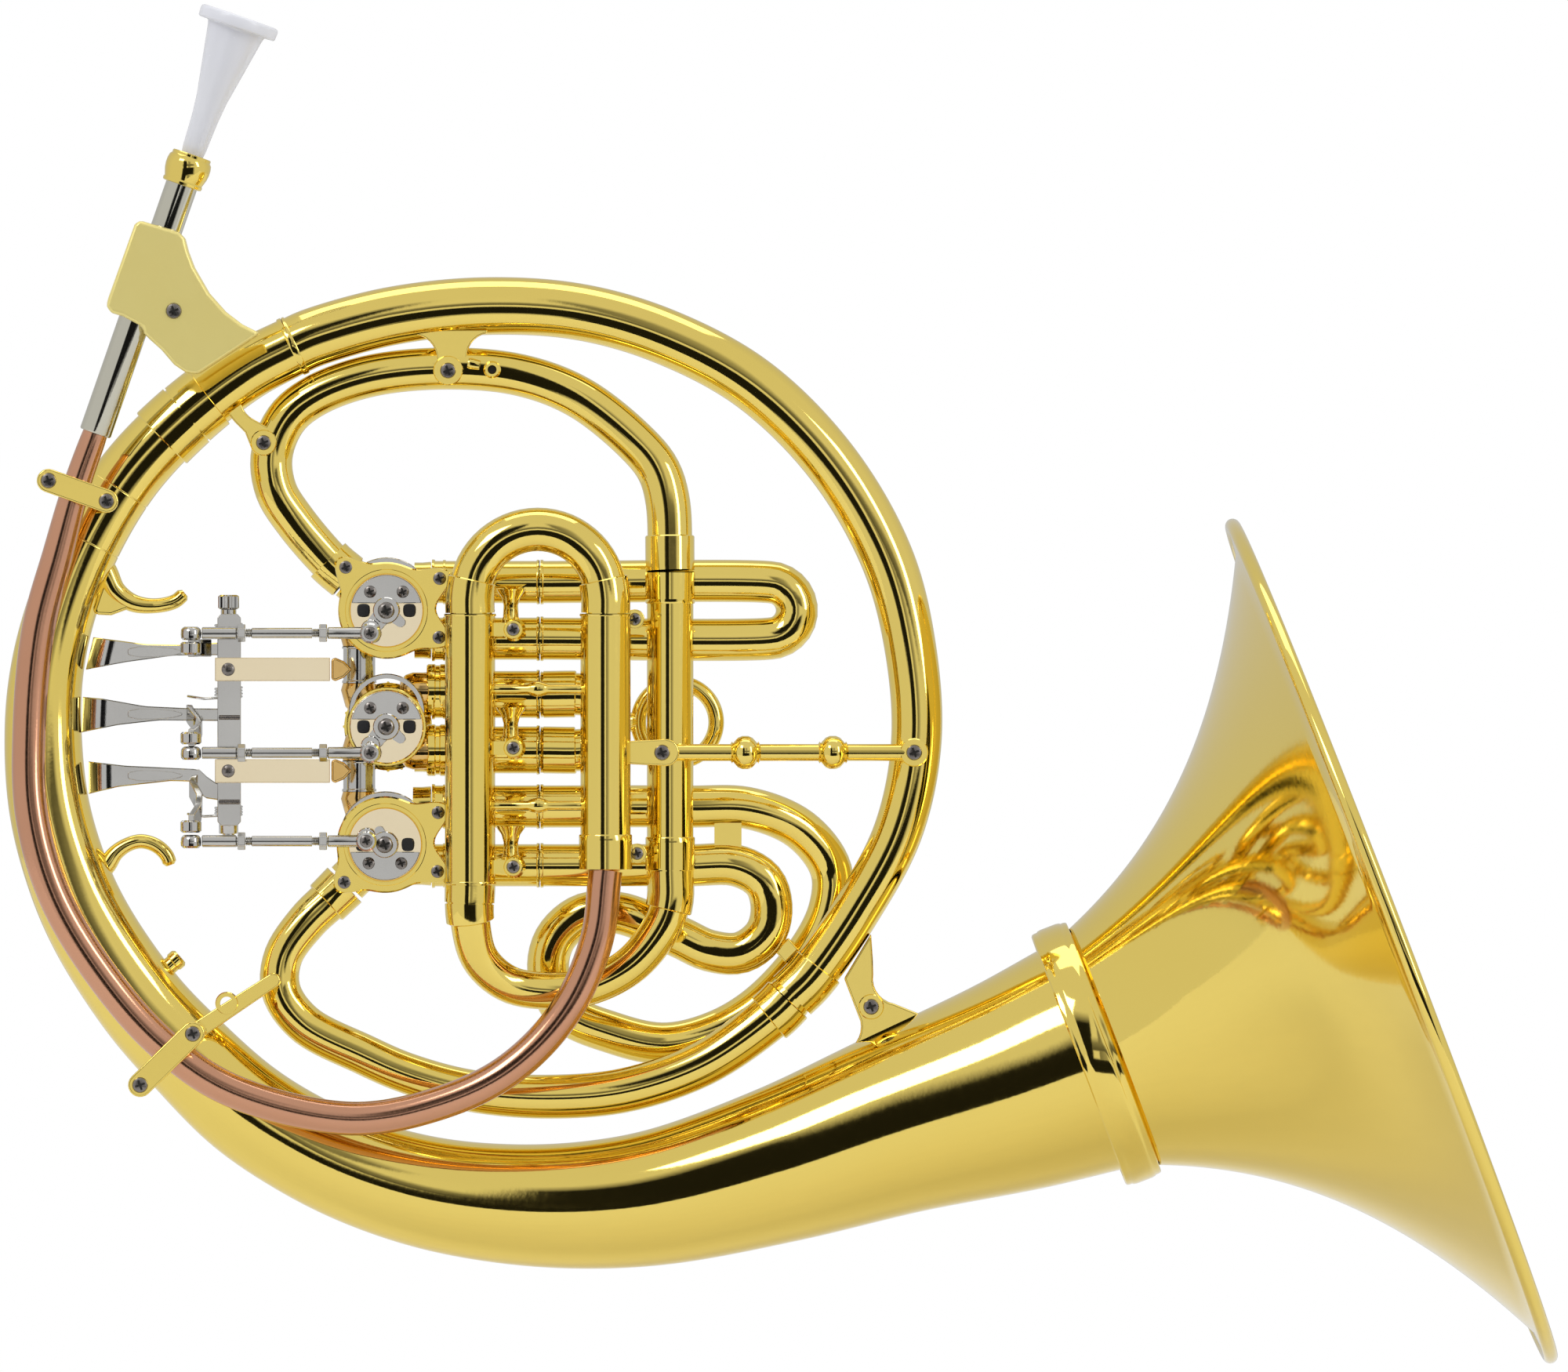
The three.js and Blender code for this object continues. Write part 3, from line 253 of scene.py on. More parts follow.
def pipe(points, wall=1.0, bands=(), sides=28, step=2.2, cap=0.4):
    """A pipe along [x, y, z, radius] points. bands are (start, end, rise) in mm along it.

    A negative start or end counts from the far end. wall = 0 makes it a closed bar.
    """
    route = dense(points)
    length = np.concatenate([[0], np.cumsum(np.linalg.norm(np.diff(route[:, :3], axis=0), axis=1))])
    total = length[-1]
    spans = []
    for start, end, rise in bands:
        start = start if start >= 0 else total + start
        end = end if end > 0 else total + end
        spans.append((start, end, rise))

    def rise_at(s):
        return next((rise for start, end, rise in spans if start < s < end), 0.0)

    stations = [(s, rise_at(s)) for s in np.linspace(0, total, max(3, int(total / step)))]
    for start, end, rise in spans:
        edge = min(0.35, abs(rise) * 0.6, (end - start) * 0.3)
        for s, inward in ((start, 1), (end, -1)):
            outside = rise_at(s - inward * 0.05) if 0.1 < s < total - 0.1 else rise
            stations += [
                (s - inward * 1e-4, outside), (s, outside + (rise - outside) * 0.6),
                (s + inward * edge, rise),
            ]
    stations = sorted(stations, key=lambda item: item[0])
    stations = [(min(max(s, 0.0), total), rise) for s, rise in stations]

    def ring_at(s, offset):
        x, y, z, r = (np.interp(s, length, route[:, k]) for k in range(4))
        ahead = [np.interp(min(s + 0.4, total), length, route[:, k]) for k in range(3)]
        behind = [np.interp(max(s - 0.4, 0), length, route[:, k]) for k in range(3)]
        tangent = np.subtract(ahead, behind)
        tangent /= np.linalg.norm(tangent)
        normal = np.cross((0, 1, 0), tangent)
        normal /= np.linalg.norm(normal)
        binormal = np.cross(tangent, normal)
        turn = np.linspace(0, 2 * math.pi, sides, endpoint=False)
        return np.array([x, y, z]) + (
            np.outer(np.cos(turn), normal) + np.outer(np.sin(turn), binormal)
        ) * (r + offset)

    rows = [ring_at(s, rise) for s, rise in stations]
    if wall > 0:
        rows += [ring_at(s, -wall) for s in np.linspace(total, 0, max(3, int(total / (2 * step))))]
        return rings(rows, True)
    start = [route[0, :3]]
    end = [route[-1, :3]]
    rows = [
        start, ring_at(0, rise_at(0.1) - cap), *rows[1:-1], ring_at(total, rise_at(total - 0.1) - cap),
        end,
    ]
    return rings(rows, False)


def plate(outline, front, back):
    """A flat plate with an [x, z] outline between two Y planes."""
    area = sum(x0 * z1 - x1 * z0 for (x0, z0), (x1, z1) in zip(outline, outline[1:] + outline[:1]))
    outline = outline if area > 0 else outline[::-1]
    n = len(outline)
    verts = [(x, front, z) for x, z in outline] + [(x, back, z) for x, z in outline]
    faces = [list(range(n)), list(range(2 * n - 1, n - 1, -1))]
    faces += [[(i + 1) % n, i, n + i, n + (i + 1) % n] for i in range(n)]
    return np.array(verts, float), faces


def arc(cx, cz, r, start, end, steps=12):
    """Points of a round stretch, angles in degrees."""
    return [
        (cx + r * math.cos(math.radians(a)), cz + r * math.sin(math.radians(a)))
        for a in np.linspace(start, end, steps)
    ]


def smooth_outline(points, per=6):
    """A closed outline rounded through its points."""
    p = [[x, 0, z, 1] for x, z in points]
    return [(q[0], q[2]) for q in dense(p[-1:] + p + p[:2], per)[per:-per]]


def link(a, b, r, front, back, r2=None):
    """A flat bar with round ends between [x, z] points a and b."""
    angle = math.degrees(math.atan2(b[1] - a[1], b[0] - a[0]))
    r2 = r2 or r
    return plate(arc(*a, r, angle + 90, angle + 270) + arc(*b, r2, angle - 90, angle + 90), front, back)


def brick(x0, x1, y0, y1, z0, z1):
    return plate([(x0, z0), (x1, z0), (x1, z1), (x0, z1)], y0, y1)


def disc(x, z, r, front, back, sides=40, edge=0.3):
    """A round with chamfered rims between two Y planes."""
    profile = [
        (0, front), (r - edge, front), (r, front + edge), (r, back - edge), (r - edge, back), (0, back),
    ]
    return turned(profile, (x, 0, z), (0, 1, 0), sides)


def hoop(x, z, inner, outer, front, back, sides=56, edge=0.3):
    """A washer between two Y planes."""
    profile = [
        (inner, front), (outer - edge, front), (outer, front + edge), (outer, back - edge),
        (outer - edge, back), (inner, back),
    ]
    return turned(profile, (x, 0, z), (0, 1, 0), sides, closed=True)


def upright(x, y, r, low, high, sides=32):
    """A solid round bar along Z."""
    edge = 0.3
    profile = [(0, low), (r - edge, low), (r, low + edge), (r, high - edge), (r - edge, high), (0, high)]
    return turned(profile, (x, y, 0), (0, 0, 1), sides)


def screw(name, x, y, z, r=2.4, body="horn"):
    """A pan-head cross screw facing -Y. Its cross is a near-black plate on the dome: painted shade where
    the cross-shaped hollow would be.
    """
    head = turned(
        [(0, 0.6), (r, 0.6), (r, 0.1), (r * 0.86, -0.5), (r * 0.5, -0.85), (0, -0.95)], (x, y, z),
        (0, 1, 0), 24,
    )
    head = (head[0], [f[::-1] for f in head[1]])
    piece(name, *head, STEEL, body)
    arm, half = r * 0.62, r * 0.13
    cross = [
        (-arm, -half), (-half, -half), (-half, -arm), (half, -arm), (half, -half), (arm, -half),
        (arm, half), (half, half), (half, arm), (-half, arm), (-half, half), (-arm, half),
    ]
    turned_cross = [(x + 0.94 * a - 0.34 * b, z + 0.34 * a + 0.94 * b) for a, b in cross]
    # The near-black cross plate is painted shade for the screw's cross hollow.
    piece(name + "_recess", *plate(turned_cross, y - 1.02, y - 0.4), HOLLOW_SHADE, body, sharp=20)


# ------------------------------------------------------------------ stage, light and camera
VIEW_WIDTH = 0.52
CAMERA_DISTANCE = 8.0
centre = Vector((0.1841, 0, 0.013))
camera_data = bpy.data.cameras.new("camera")
camera_data.sensor_width = 36
camera_data.lens = 36 * CAMERA_DISTANCE / VIEW_WIDTH
camera_data.clip_end = 60
camera = bpy.data.objects.new("camera", camera_data)
camera.location = centre + Vector((0, -CAMERA_DISTANCE, 0))
camera.rotation_euler = (math.pi / 2, 0, 0)
bpy.context.scene.collection.objects.link(camera)
bpy.context.scene.camera = camera


def stage():
    """A plain pale floor, lower than the frame's bottom edge."""
    corners = [(-0.9, -0.6), (1.3, -0.6), (1.3, 1.2), (-0.9, 1.2)]
    mesh = bpy.data.meshes.new("floor")
    mesh.from_pydata([(x, y, FLOOR_Z) for x, y in corners], [], [(0, 1, 2, 3)])
    mesh.materials.append(shade(
        "floor", (0.84, 0.84, 0.84), (0.88, 0.88, 0.88), (0.7, 0.8), metallic=0, bump=0,
    ))
    floor = bpy.data.objects.new("floor", mesh)
    bpy.context.scene.collection.objects.link(floor)


# Soft dark cards seen in reflections, as (direction cosine, value) stops along a world axis.
FRONT_ONLY = [(-1, 1), (-0.55, 1), (-0.42, 0), (1, 0)]
UPRIGHT_X = [
    (-1, 0), (-0.4, 0), (-0.34, 1), (-0.09, 1), (-0.065, 0), (0.04, 0), (0.06, 0.75), (0.2, 0.5),
    (0.32, 0), (1, 0),
]
UPRIGHT_Z = [(-1, 0), (-0.75, 0), (-0.6, 1), (0.45, 1), (0.6, 0), (1, 0)]
LEVEL_X = [(-1, 0), (-0.45, 0), (-0.38, 1), (0.45, 1), (0.6, 0), (1, 0)]
LEVEL_Z = [
    (-1, 0), (-0.55, 0), (-0.47, 1), (-0.075, 1), (-0.05, 0), (0.05, 0), (0.07, 0.9), (0.18, 0.7),
    (0.28, 0), (1, 0),
]
WALLS_Y = [(-1, 0.75), (-0.8, 0.72), (-0.4, 0.72), (0, 0.72), (0.6, 0.64), (1, 0.58)]
CARD_COLOUR, BACKGROUND = (0.012, 0.012, 0.012, 1), (1, 1, 1, 1)


def sky():
    """A plain white background. Reflections see a pale studio with soft dark cards round the front axis."""
    world = bpy.data.worlds.new("studio")
    bpy.context.scene.world = world
    world.use_nodes = True
    nodes, links = world.node_tree.nodes, world.node_tree.links
    axes = nodes.new("ShaderNodeSeparateXYZ")
    links.new(nodes.new("ShaderNodeTexCoord").outputs["Generated"], axes.inputs["Vector"])

    def band(axis, stops):
        """Grey value along one axis. The ramp runs 0 to 1 where the cosine runs -1 to 1."""
        half = add_node(nodes, "ShaderNodeMapRange", {"From Min": -1})
        links.new(axes.outputs[axis], half.inputs["Value"])
        ramp = nodes.new("ShaderNodeValToRGB")
        elements = ramp.color_ramp.elements
        for element, (at, value) in zip(elements, (stops[0], stops[-1])):
            element.position, element.color = at / 2 + 0.5, (value, value, value, 1)
        for at, value in stops[1:-1]:
            elements.new(at / 2 + 0.5).color = (value, value, value, 1)
        links.new(half.outputs["Result"], ramp.inputs["Fac"])
        return ramp.outputs["Color"]

    def mixed(kind, a, b, factor=None):
        """Two colours mixed. b may be a plain colour, and factor an output."""
        mix = add_node(nodes, "ShaderNodeMix", {"Factor": 1}, data_type="RGBA", blend_type=kind)
        links.new(a, mix.inputs["A"])
        if isinstance(b, tuple):
            mix.inputs["B"].default_value = b
        else:
            links.new(b, mix.inputs["B"])
        if factor:
            links.new(factor, mix.inputs["Factor"])
        return mix.outputs["Result"]

    upright_cards = mixed("MULTIPLY", band("X", UPRIGHT_X), band("Z", UPRIGHT_Z))
    level_cards = mixed("MULTIPLY", band("Z", LEVEL_Z), band("X", LEVEL_X))
    dark = mixed("MULTIPLY", mixed("LIGHTEN", upright_cards, level_cards), band("Y", FRONT_ONLY))
    cards = mixed("MIX", band("Y", WALLS_Y), CARD_COLOUR, dark)
    camera_ray = nodes.new("ShaderNodeLightPath").outputs["Is Camera Ray"]
    links.new(mixed("MIX", cards, BACKGROUND, camera_ray), nodes["Background"].inputs["Color"])


def lamp(name, place, size, power):
    """An area light that faces the middle of the object."""
    data = bpy.data.lights.new(name, "AREA")
    data.shape = "RECTANGLE"
    data.size, data.size_y = size
    data.energy = power
    obj = bpy.data.objects.new(name, data)
    obj.location = place
    obj.rotation_euler = (centre - Vector(place)).to_track_quat("-Z", "Y").to_euler()
    bpy.context.scene.collection.objects.link(obj)


bpy.context.scene.view_settings.view_transform = "Standard"
stage()
sky()
lamp("key", (-1.6, -2.2, 2.2), (1.4, 1.0), 22)
lamp("fill", (2.4, -1.8, 1.0), (0.6, 1.8), 16)
lamp("top", (0.2, 0.4, 2.6), (2.4, 1.4), 14)

# ------------------------------------------------------------------ mouthpiece and leadpipe


def lead(profile, sides=48):
    """A closed profile turned round the upper leadpipe's axis."""
    return turned(profile, LEAD_FOOT, LEAD_DIR, sides, closed=True)


MOUTHPIECE = [
    (2.2, 92), (3.4, 92), (3.7, 97.8), (4.0, 100), (4.5, 110), (5.2, 117), (6.2, 122.5), (9.4, 140.2),
    (9.9, 141.9), (13.3, 141.9), (13.5, 145.2), (12.9, 146), (9.5, 146), (8.7, 144.4), (7.3, 138),
    (4, 124), (2.2, 114),
]
RECEIVER = [
    (5.6, 87.4), (6.0, 86.9), (6.6, 87.1), (6.8, 87.9), (6.5, 88.5), (6.8, 89.4), (7.3, 91), (7.55, 92.8),
    (7.5, 94.4), (7.2, 95.8), (6.6, 96.5), (6.6, 97.3), (6.3, 97.6), (4.8, 97.6), (4.4, 97.0), (4.2, 90),
    (5.6, 90),
]
piece("mouthpiece_shell", *lead(fillet(MOUTHPIECE, 0.4), 64), PLASTIC, "mouthpiece", ["mouthpiece"])
piece("receiver_barrel", *lead(RECEIVER), GOLD, "horn", ["mouthpiece_receiver"])
piece(
    "leadpipe_chrome", *lead([(4, 0), (5.0, 0), (5.35, 0.5), (5.35, 89.4), (4, 89.4)]), CHROME, "horn",
    ["leadpipe_upper"],
)
LEADPIPE = [
    [-43.1, LEAD_Y, 98.6, 3.9], [-44, LEAD_Y, 96, 4.2], [-50, -19, 79, 4.6], [-56, -19, 57, 5.2],
    [-62.5, -19.5, 32, 5.6], [-65.5, -20, 0, 5.6], [-64.6, -21, -30, 5.6], [-56.4, -21.5, -58, 5.6],
    [-38.2, -22.2, -87, 5.6], [-20, -22.8, -106.6, 5.6], [2, -23.4, -121, 5.6], [41, -24.5, -130, 5.6],
    [70, -25, -125, 5.6], [93, -25, -114, 5.6], [111.5, -25, -95, 5.6], [122, -24.5, -71.5, 5.6],
    [RIGHT_X, LEG_Y, -48, 5.6],
]
piece("leadpipe_tube", *pipe(LEADPIPE, 0.6, sides=32), ROSE, "horn", ["leadpipe"])
bracket = [
    (-30.6, 165.5), (-29, 167), (-15.8, 163), (-14, 161), (-12.9, 156.8), (-10.9, 151.5), (-6, 143),
    (-0.5, 136.8), (5, 132.6), (11, 129.6), (-9.8, 116), (-13.6, 116.6), (-17.5, 119.2), (-21.6, 124),
    (-25.6, 127.6), (-27.4, 129.5), (-28.1, 131.8), (-34.5, 135.2), (-38.2, 136.4), (-40, 138.4),
    (-39.3, 141.2),
]
piece("bracket_block", *plate(bracket, LEAD_Y - 8, -10.4), SATIN, "horn", ["leadpipe_bracket"], bevel=1.3)
screw("screw_bracket", -17.6, LEAD_Y - 8, 137, 2.7)

# ------------------------------------------------------------------ coil and bell
COIL = [
    [186.8, 0, -89.6, 8], [192.6, 0, -83.8, 8], [207.5, 0, -62.4, 8], [222, 0, -35, 8.2],
    [228, 0, -5, 8.4], [225.7, 0, 27.5, 8.6], [218, 0, 56, 8.9], [200, 0, 87, 9], [174, 0, 113, 9.2],
    [145, 0, 128.7, 9.3], [116.5, 0, 137, 9.4], [85.5, 0, 139, 9.6], [54, 0, 135.7, 9.7],
    [28, 0, 128.6, 9.8], [21.2, 0, 125.6, 9.8],
]
piece("coil_tube", *pipe(COIL, 1, [(0, 13, 0.9), (-1.4, 0, 0.45)], 44), GOLD, "horn", ["main_coil"])
bell_tail_end = RIM - BELL_AXIS * (BELL_LEN + 0.8)
BELL_TAIL = [
    [21.6, 0, 125.9, 9.8], [4.7, 0, 117, 10.2], [-15.6, 0, 101.4, 10.7], [-33, 0, 83, 11],
    [-46.5, 0, 61, 11.2], [-55, 0, 40, 11.6], [-60, 0, 20, 12.1], [-61.6, 0, 0, 12.75],
    [-59.6, 0, -27, 13.4], [-53, 0, -50.7, 13.9], [-44.5, 0, -69, 14.4], [-28.6, 0, -92.6, 15],
    [-13.5, 0, -109.2, 15.6], [4.9, 0, -126.6, 16.5], [23, 0, -138.5, 17], [43, 0, -148, 17.7],
    [67, 0, -155.2, 18.7], [93, 0, -158.8, 19.9], [119, 0, -159.1, 21.2], [145, 0, -156, 22.8],
    [184, 0, -145.3, 26.2], [223, 0, -131.6, 30.6], [262.5, 0, -118.6, 36],
    [bell_tail_end[0], 0, bell_tail_end[2], 39.6],
]
TAIL_BANDS = [
    (0, 1.5, 0.5), (33, 42.2, 0.85), (42.2, 42.8, 0.1), (42.8, 54, 1.0), (75.5, 76.1, -0.2),
    (96, 96.6, -0.2),
]
piece("bell_tail_tube", *pipe(BELL_TAIL, 1, TAIL_BANDS, 72), GOLD, "horn", ["bell_tail"])


def bell_radius(back):
    """The flare's outer radius at a distance behind the rim."""
    return THROAT_R + (RIM_R - THROAT_R) * math.exp(-FLARE * back)


bell_rows = [(bell_radius(s), -s) for s in np.linspace(BELL_LEN, 4.6, 44)]
bead = [
    (RIM_R - 0.6 + BEAD * math.cos(a), -BEAD + BEAD * math.sin(a))
    for a in np.linspace(-2.4, math.pi / 2, 16)
]
inner_rows = [(bell_radius(s) - 1.3, -s) for s in np.linspace(0.8, BELL_LEN, 44)]
piece(
    "bell", *turned(bell_rows + bead + inner_rows, RIM, BELL_AXIS, 144, closed=True), GOLD, "horn",
    ["bell_flare"],
)
GARLAND = [
    (42.9, -113.2), (43.7, -113.4), (44.3, -113.0), (44.5, -112.2), (44.5, -111.3), (44.8, -110.9),
    (45.0, -109.8), (45.0, -104.4), (44.8, -103.3), (44.5, -102.9), (44.5, -102), (44.3, -101.2),
    (43.9, -100.9), (43.2, -101.2),
]
piece("garland", *turned(GARLAND, RIM, BELL_AXIS, 128, closed=True), GOLD, "horn", ["bell_garland"])
BRANCH = [
    [38.3, PORT_Y, -53, 7.2], [33, PORT_Y, -58.2, 7], [26, 1, -65, 6.8], [18, 0, -76.7, 6.5],
    [17.3, 0, -88, 6.6], [25, 0, -99, 6.7], [44.7, 0, -109.2, 6.8], [59, 0, -115.4, 6.8],
    [80, 0, -121.2, 7], [106, 0, -123.2, 7.3], [132, 0, -120.9, 7.4], [158, 0, -111.8, 7.5],
    [180.4, 0, -96, 7.8], [186.2, 0, -90.2, 7.8],
]
piece("branch_pipe", *pipe(BRANCH, 1, [(0, 8.6, 0.9), (-10, -1, 1.1)], 36), GOLD, "horn", ["branch_tube"])

# ------------------------------------------------------------------ tuning slides and inlet


def tube_up(x, y, r, low, high, bands=(), wall=1.4):
    """A straight pipe along Z."""
    return pipe([[x, y, low, r], [x, y, (low + high) / 2, r], [x, y, high, r]], wall, bands, 36, step=8)


legs = [tube_up(LEFT_X, LEG_Y, 8.3, -52.5, LEG_TOP, [(0, 0.8, 0.3), (-0.8, 0, 0.3)])]
STANDOFF_POST = [
    (0, 2), (3, 2.2), (3.2, 3.2), (2.6, 4.2), (2.4, 8), (3.1, 10.6), (4.6, 12.6), (5, 13.4), (0, 13.6),
]
for height in STANDOFF_HEIGHTS:
    legs.append(brick(LEFT_X + 7.2, STANDOFF_X, LEG_Y - 2.6, LEG_Y + 0.8, height - 2.2, height + 2.2))
    legs.append(disc(STANDOFF_X, height, 3.2, LEG_Y - 3.6, -2.5, 32))
    waist = [(2.6, -4), (3.9, -3), (3.9, 2.5), (2.6, 4)]
    legs.append(turned(waist, (STANDOFF_X, -6.8, height), (0, 1, 0), 32, closed=True))
    legs.append(turned(STANDOFF_POST, (STANDOFF_X - 1, -8, height), (0, 0, 1), 28))
piece("left_leg", *merge(*legs), GOLD, "horn", ["left_slide_leg"])
for i, height in enumerate(STANDOFF_HEIGHTS):
    screw(f"screw_standoff_{i}", STANDOFF_X, LEG_Y - 3.6, height, 2.3)
piece(
    "right_leg", *tube_up(RIGHT_X, LEG_Y, 8.3, -47.6, LEG_TOP, [(0, 11.5, 0.5), (-0.8, 0, 0.3)]), GOLD,
    "horn", ["right_slide_leg"],
)
piece(
    "inner_leg_tube",
    *tube_up(INNER_X, INNER_LEG_Y, 7.7, -48, 50.9, [(0, 11, 0.5), (-10.6, 0, 0.5)], 1.2), GOLD, "horn",
    ["inner_leg"],
)
INSERTED, BOW_R, BOW_Z = 34, 7.2, 42.4
leg_heights = [LEG_TOP + 0.3 - INSERTED, 30, LEG_TOP]
half_bow = (RIGHT_X - LEFT_X) / 2
bow = [[LEFT_X, LEG_Y, height, BOW_R] for height in leg_heights]
for a in np.linspace(0, math.pi, 9):
    x = (LEFT_X + RIGHT_X) / 2 - half_bow * math.cos(a)
    bow.append([x, LEG_Y, BOW_Z + half_bow * math.sin(a), BOW_R])
bow += [[RIGHT_X, LEG_Y, height, BOW_R] for height in leg_heights[::-1]]
BOW_BANDS = [
    (0, INSERTED, -0.6), (INSERTED, INSERTED + 11, 0.95), (-INSERTED - 11, -INSERTED, 0.95),
    (-INSERTED, 0, -0.6),
]
piece("main_slide_bow", *pipe(bow, 1.6, BOW_BANDS, 40), GOLD, "main_tuning_slide", ["main_tuning_slide"])
LOWER_BOW = [
    [LEFT_X, LEG_Y, -26, 6.9], [LEFT_X, LEG_Y, -52.5, 6.9], [LEFT_X, LEG_Y + 0.4, -64, 6.6],
    [83.5, -19, -77.2, 6.3], [92.8, -14, -85.6, 6.2], [106, -11, -88, 6.2], [120, -10, -86.4, 6.2],
    [133.9, -10, -79, 6.4], [144, INNER_LEG_Y, -66, 6.6], [INNER_X, INNER_LEG_Y, -58, 6.8],
    [INNER_X, INNER_LEG_Y, -48, 6.8], [INNER_X, INNER_LEG_Y, -24, 6.8],
]
LOWER_BANDS = [
    (0, 26.8, -0.3), (26.8, 32.6, 1.5), (32.6, 33.1, 0.9), (33.1, 38.8, 1.4), (-37.3, -24.3, 1.0),
    (-24.3, 0, -0.6),
]
piece(
    "lower_slide_bow", *pipe(LOWER_BOW, 1.6, LOWER_BANDS, 36), GOLD, "lower_tuning_slide",
    ["lower_tuning_slide"],
)
INLET = [
    [INNER_X, INNER_LEG_Y, 51.3, 7.4], [145.6, -9, 74, 7.4], [142.5, -8, 84.5, 7.3],
    [135.5, -6.5, 93.3, 7.2], [116.5, -4, 108.5, 7.1], [97, -2, 116, 7], [72.3, 0, 118.3, 7],
    [46.3, 0, 115.7, 7], [28.1, 0, 109, 7], [19, 0, 101.5, 7], [14.2, 0, 89.5, 7], [15.6, 0, 78, 7],
    [21.8, 1, 67.9, 7], [33.6, PORT_Y, 54.1, 6.9], [39.6, PORT_Y, 49, 6.9],
]
INLET_BANDS = [(0, 11.5, 0.75), (-9, 0, 1.1)]
piece("inlet_pipe", *pipe(INLET, 1, INLET_BANDS, 36), GOLD, "horn", ["valve_inlet_tube"])
GUSSET_UPPER = [
    (60.5, 131), *arc(61, 121.5, 8, 80, 0, 8), *arc(72.8, 117.5, 4.9, 200, 340, 12),
    *arc(87, 122, 8, 180, 100, 8), (86, 131),
]
GUSSET_SIDE = [
    (-1, 104.5), (3, 110.5), *arc(12, 108.5, 8, 190, 240, 6), (14.5, 98),
    *arc(11.7, 93.6, 4.6, 30, -150, 12), (5.5, 97), (2, 100.5),
]
piece("gusset_upper", *plate(GUSSET_UPPER, -6.2, -1), GOLD, bevel=0.5)
piece(
    "coil_seam", *pipe([[185.6, 0, -90.8, 7.6], [186.5, 0, -89.9, 7.6], [188, 0, -88.4, 7.6]], 1, (), 40),
    GOLD,
)
piece("gusset_boss", *disc(72.8, 117.5, 4.9, -9.4, -5), GOLD)
screw("screw_gusset_upper", 72.8, -9.4, 117.5, 2.7)
piece("gusset_side", *plate(GUSSET_SIDE, -5.8, -1), GOLD, bevel=0.5)
piece("gusset_side_boss", *disc(11.7, 93.6, 4.3, -9.2, -5), GOLD)
screw("screw_gusset_side", 11.7, -9.2, 93.6, 2.6)
nipple = turned(
    [(1.5, 0), (2.7, 0), (2.9, -0.4), (2.9, -2.4), (2.3, -3), (1.5, -3), (1.2, -2.4)],
    (87.4, -6.4, 117.8), (0, 1, 0), 28, True,
)
piece("vent_nipple", nipple[0], [f[::-1] for f in nipple[1]], GOLD)
# A near-black disc in the nipple's bore: painted shade inside the vent hole.
piece("vent_hole_shade", *disc(87.4, 117.8, 1.5, -8.4, -6.6, 20), HOLLOW_SHADE)
piece(
    "vent_stem",
    *turned([(0, 0), (1.7, 0.1), (1.9, 1), (1.6, 4), (0, 4)], (79.4, -7.2, 120), (1, -0.1, -0.2), 20),
    GOLD,
)

# ------------------------------------------------------------------ rotary valves
EAR_R, FLANGE_R, EAR_WIDTH = 3.9, 16, 0.27
EARS = {
    1: [(-13.5, 14.3), (17.6, 10.6), (17.4, -8.9)],
    2: [],
    3: [(-13.5, -12.5), (17.6, 10.6), (17.4, -8.9)],
}


def flange(x, z, ears):
    """A round washer whose rim swells smoothly into screw ears."""
    turn = np.linspace(0, 2 * math.pi, 180, endpoint=False)
    rim = np.full(len(turn), float(FLANGE_R))
    for dx, dz in ears:
        away = np.angle(np.exp(1j * (turn - math.atan2(dz, dx))))
        rim += (math.hypot(dx, dz) + EAR_R - FLANGE_R) * np.exp(-(away / EAR_WIDTH) ** 2)
    unit = np.array([np.cos(turn), np.zeros(len(turn)), np.sin(turn)]).T
    profile = [
        (12.6, -10), (12.6, -14.7), (13.5, -14.7), (13.7, -13.9), (rim - 0.5, -13.9), (rim, -13.4),
        (rim, -10),
    ]
    rows = []
    for reach, y in profile:
        radius = np.broadcast_to(reach, turn.shape)
        rows.append(np.array([x, y, z]) + unit * radius[:, None])
    return rings(rows, True, flip=True)


PORTS = {1: (-0.76, 0.65, 16.3), 2: None, 3: (-0.712, -0.702, 18.1)}
KNUCKLES = {1: [(26.2, 1)], 2: [(14, -1), (-11.7, 1)], 3: [(-22, -1)]}
ELBOW_BALL = [(0, 0), (3.4, 0.4), (5.2, 2), (6, 4.4), (6, 9), (4.6, 9)]
ELBOW_BARREL = [
    (6.6, 0), (8.2, 0), (8.6, 0.5), (8.6, 2.6), (8.2, 3), (8.2, 4.2), (8.6, 4.6), (8.6, 6.9), (6.6, 7),
]
ROTOR = [
    (0, -17.4), (2.7, -17.4), (3, -17.1), (3, -8.8), (11, -8.8), (11.2, -8.5), (11.2, 13), (3, 13),
    (3, 15.6), (0, 15.6),
]
REAR_CAP = [
    (0, 17.3), (13.8, 17.3), (14.6, 17.6), (14.6, 20), (14.3, 20.4), (12.6, 21.0), (11.9, 20.9),
    (11.5, 20.5), (6, 20.7), (5, 21.4), (0, 21.4),
]
CORK = [(-1.6, -1.8), (1.6, -1.8), (1.7, 1.8), (-1.7, 1.8)]
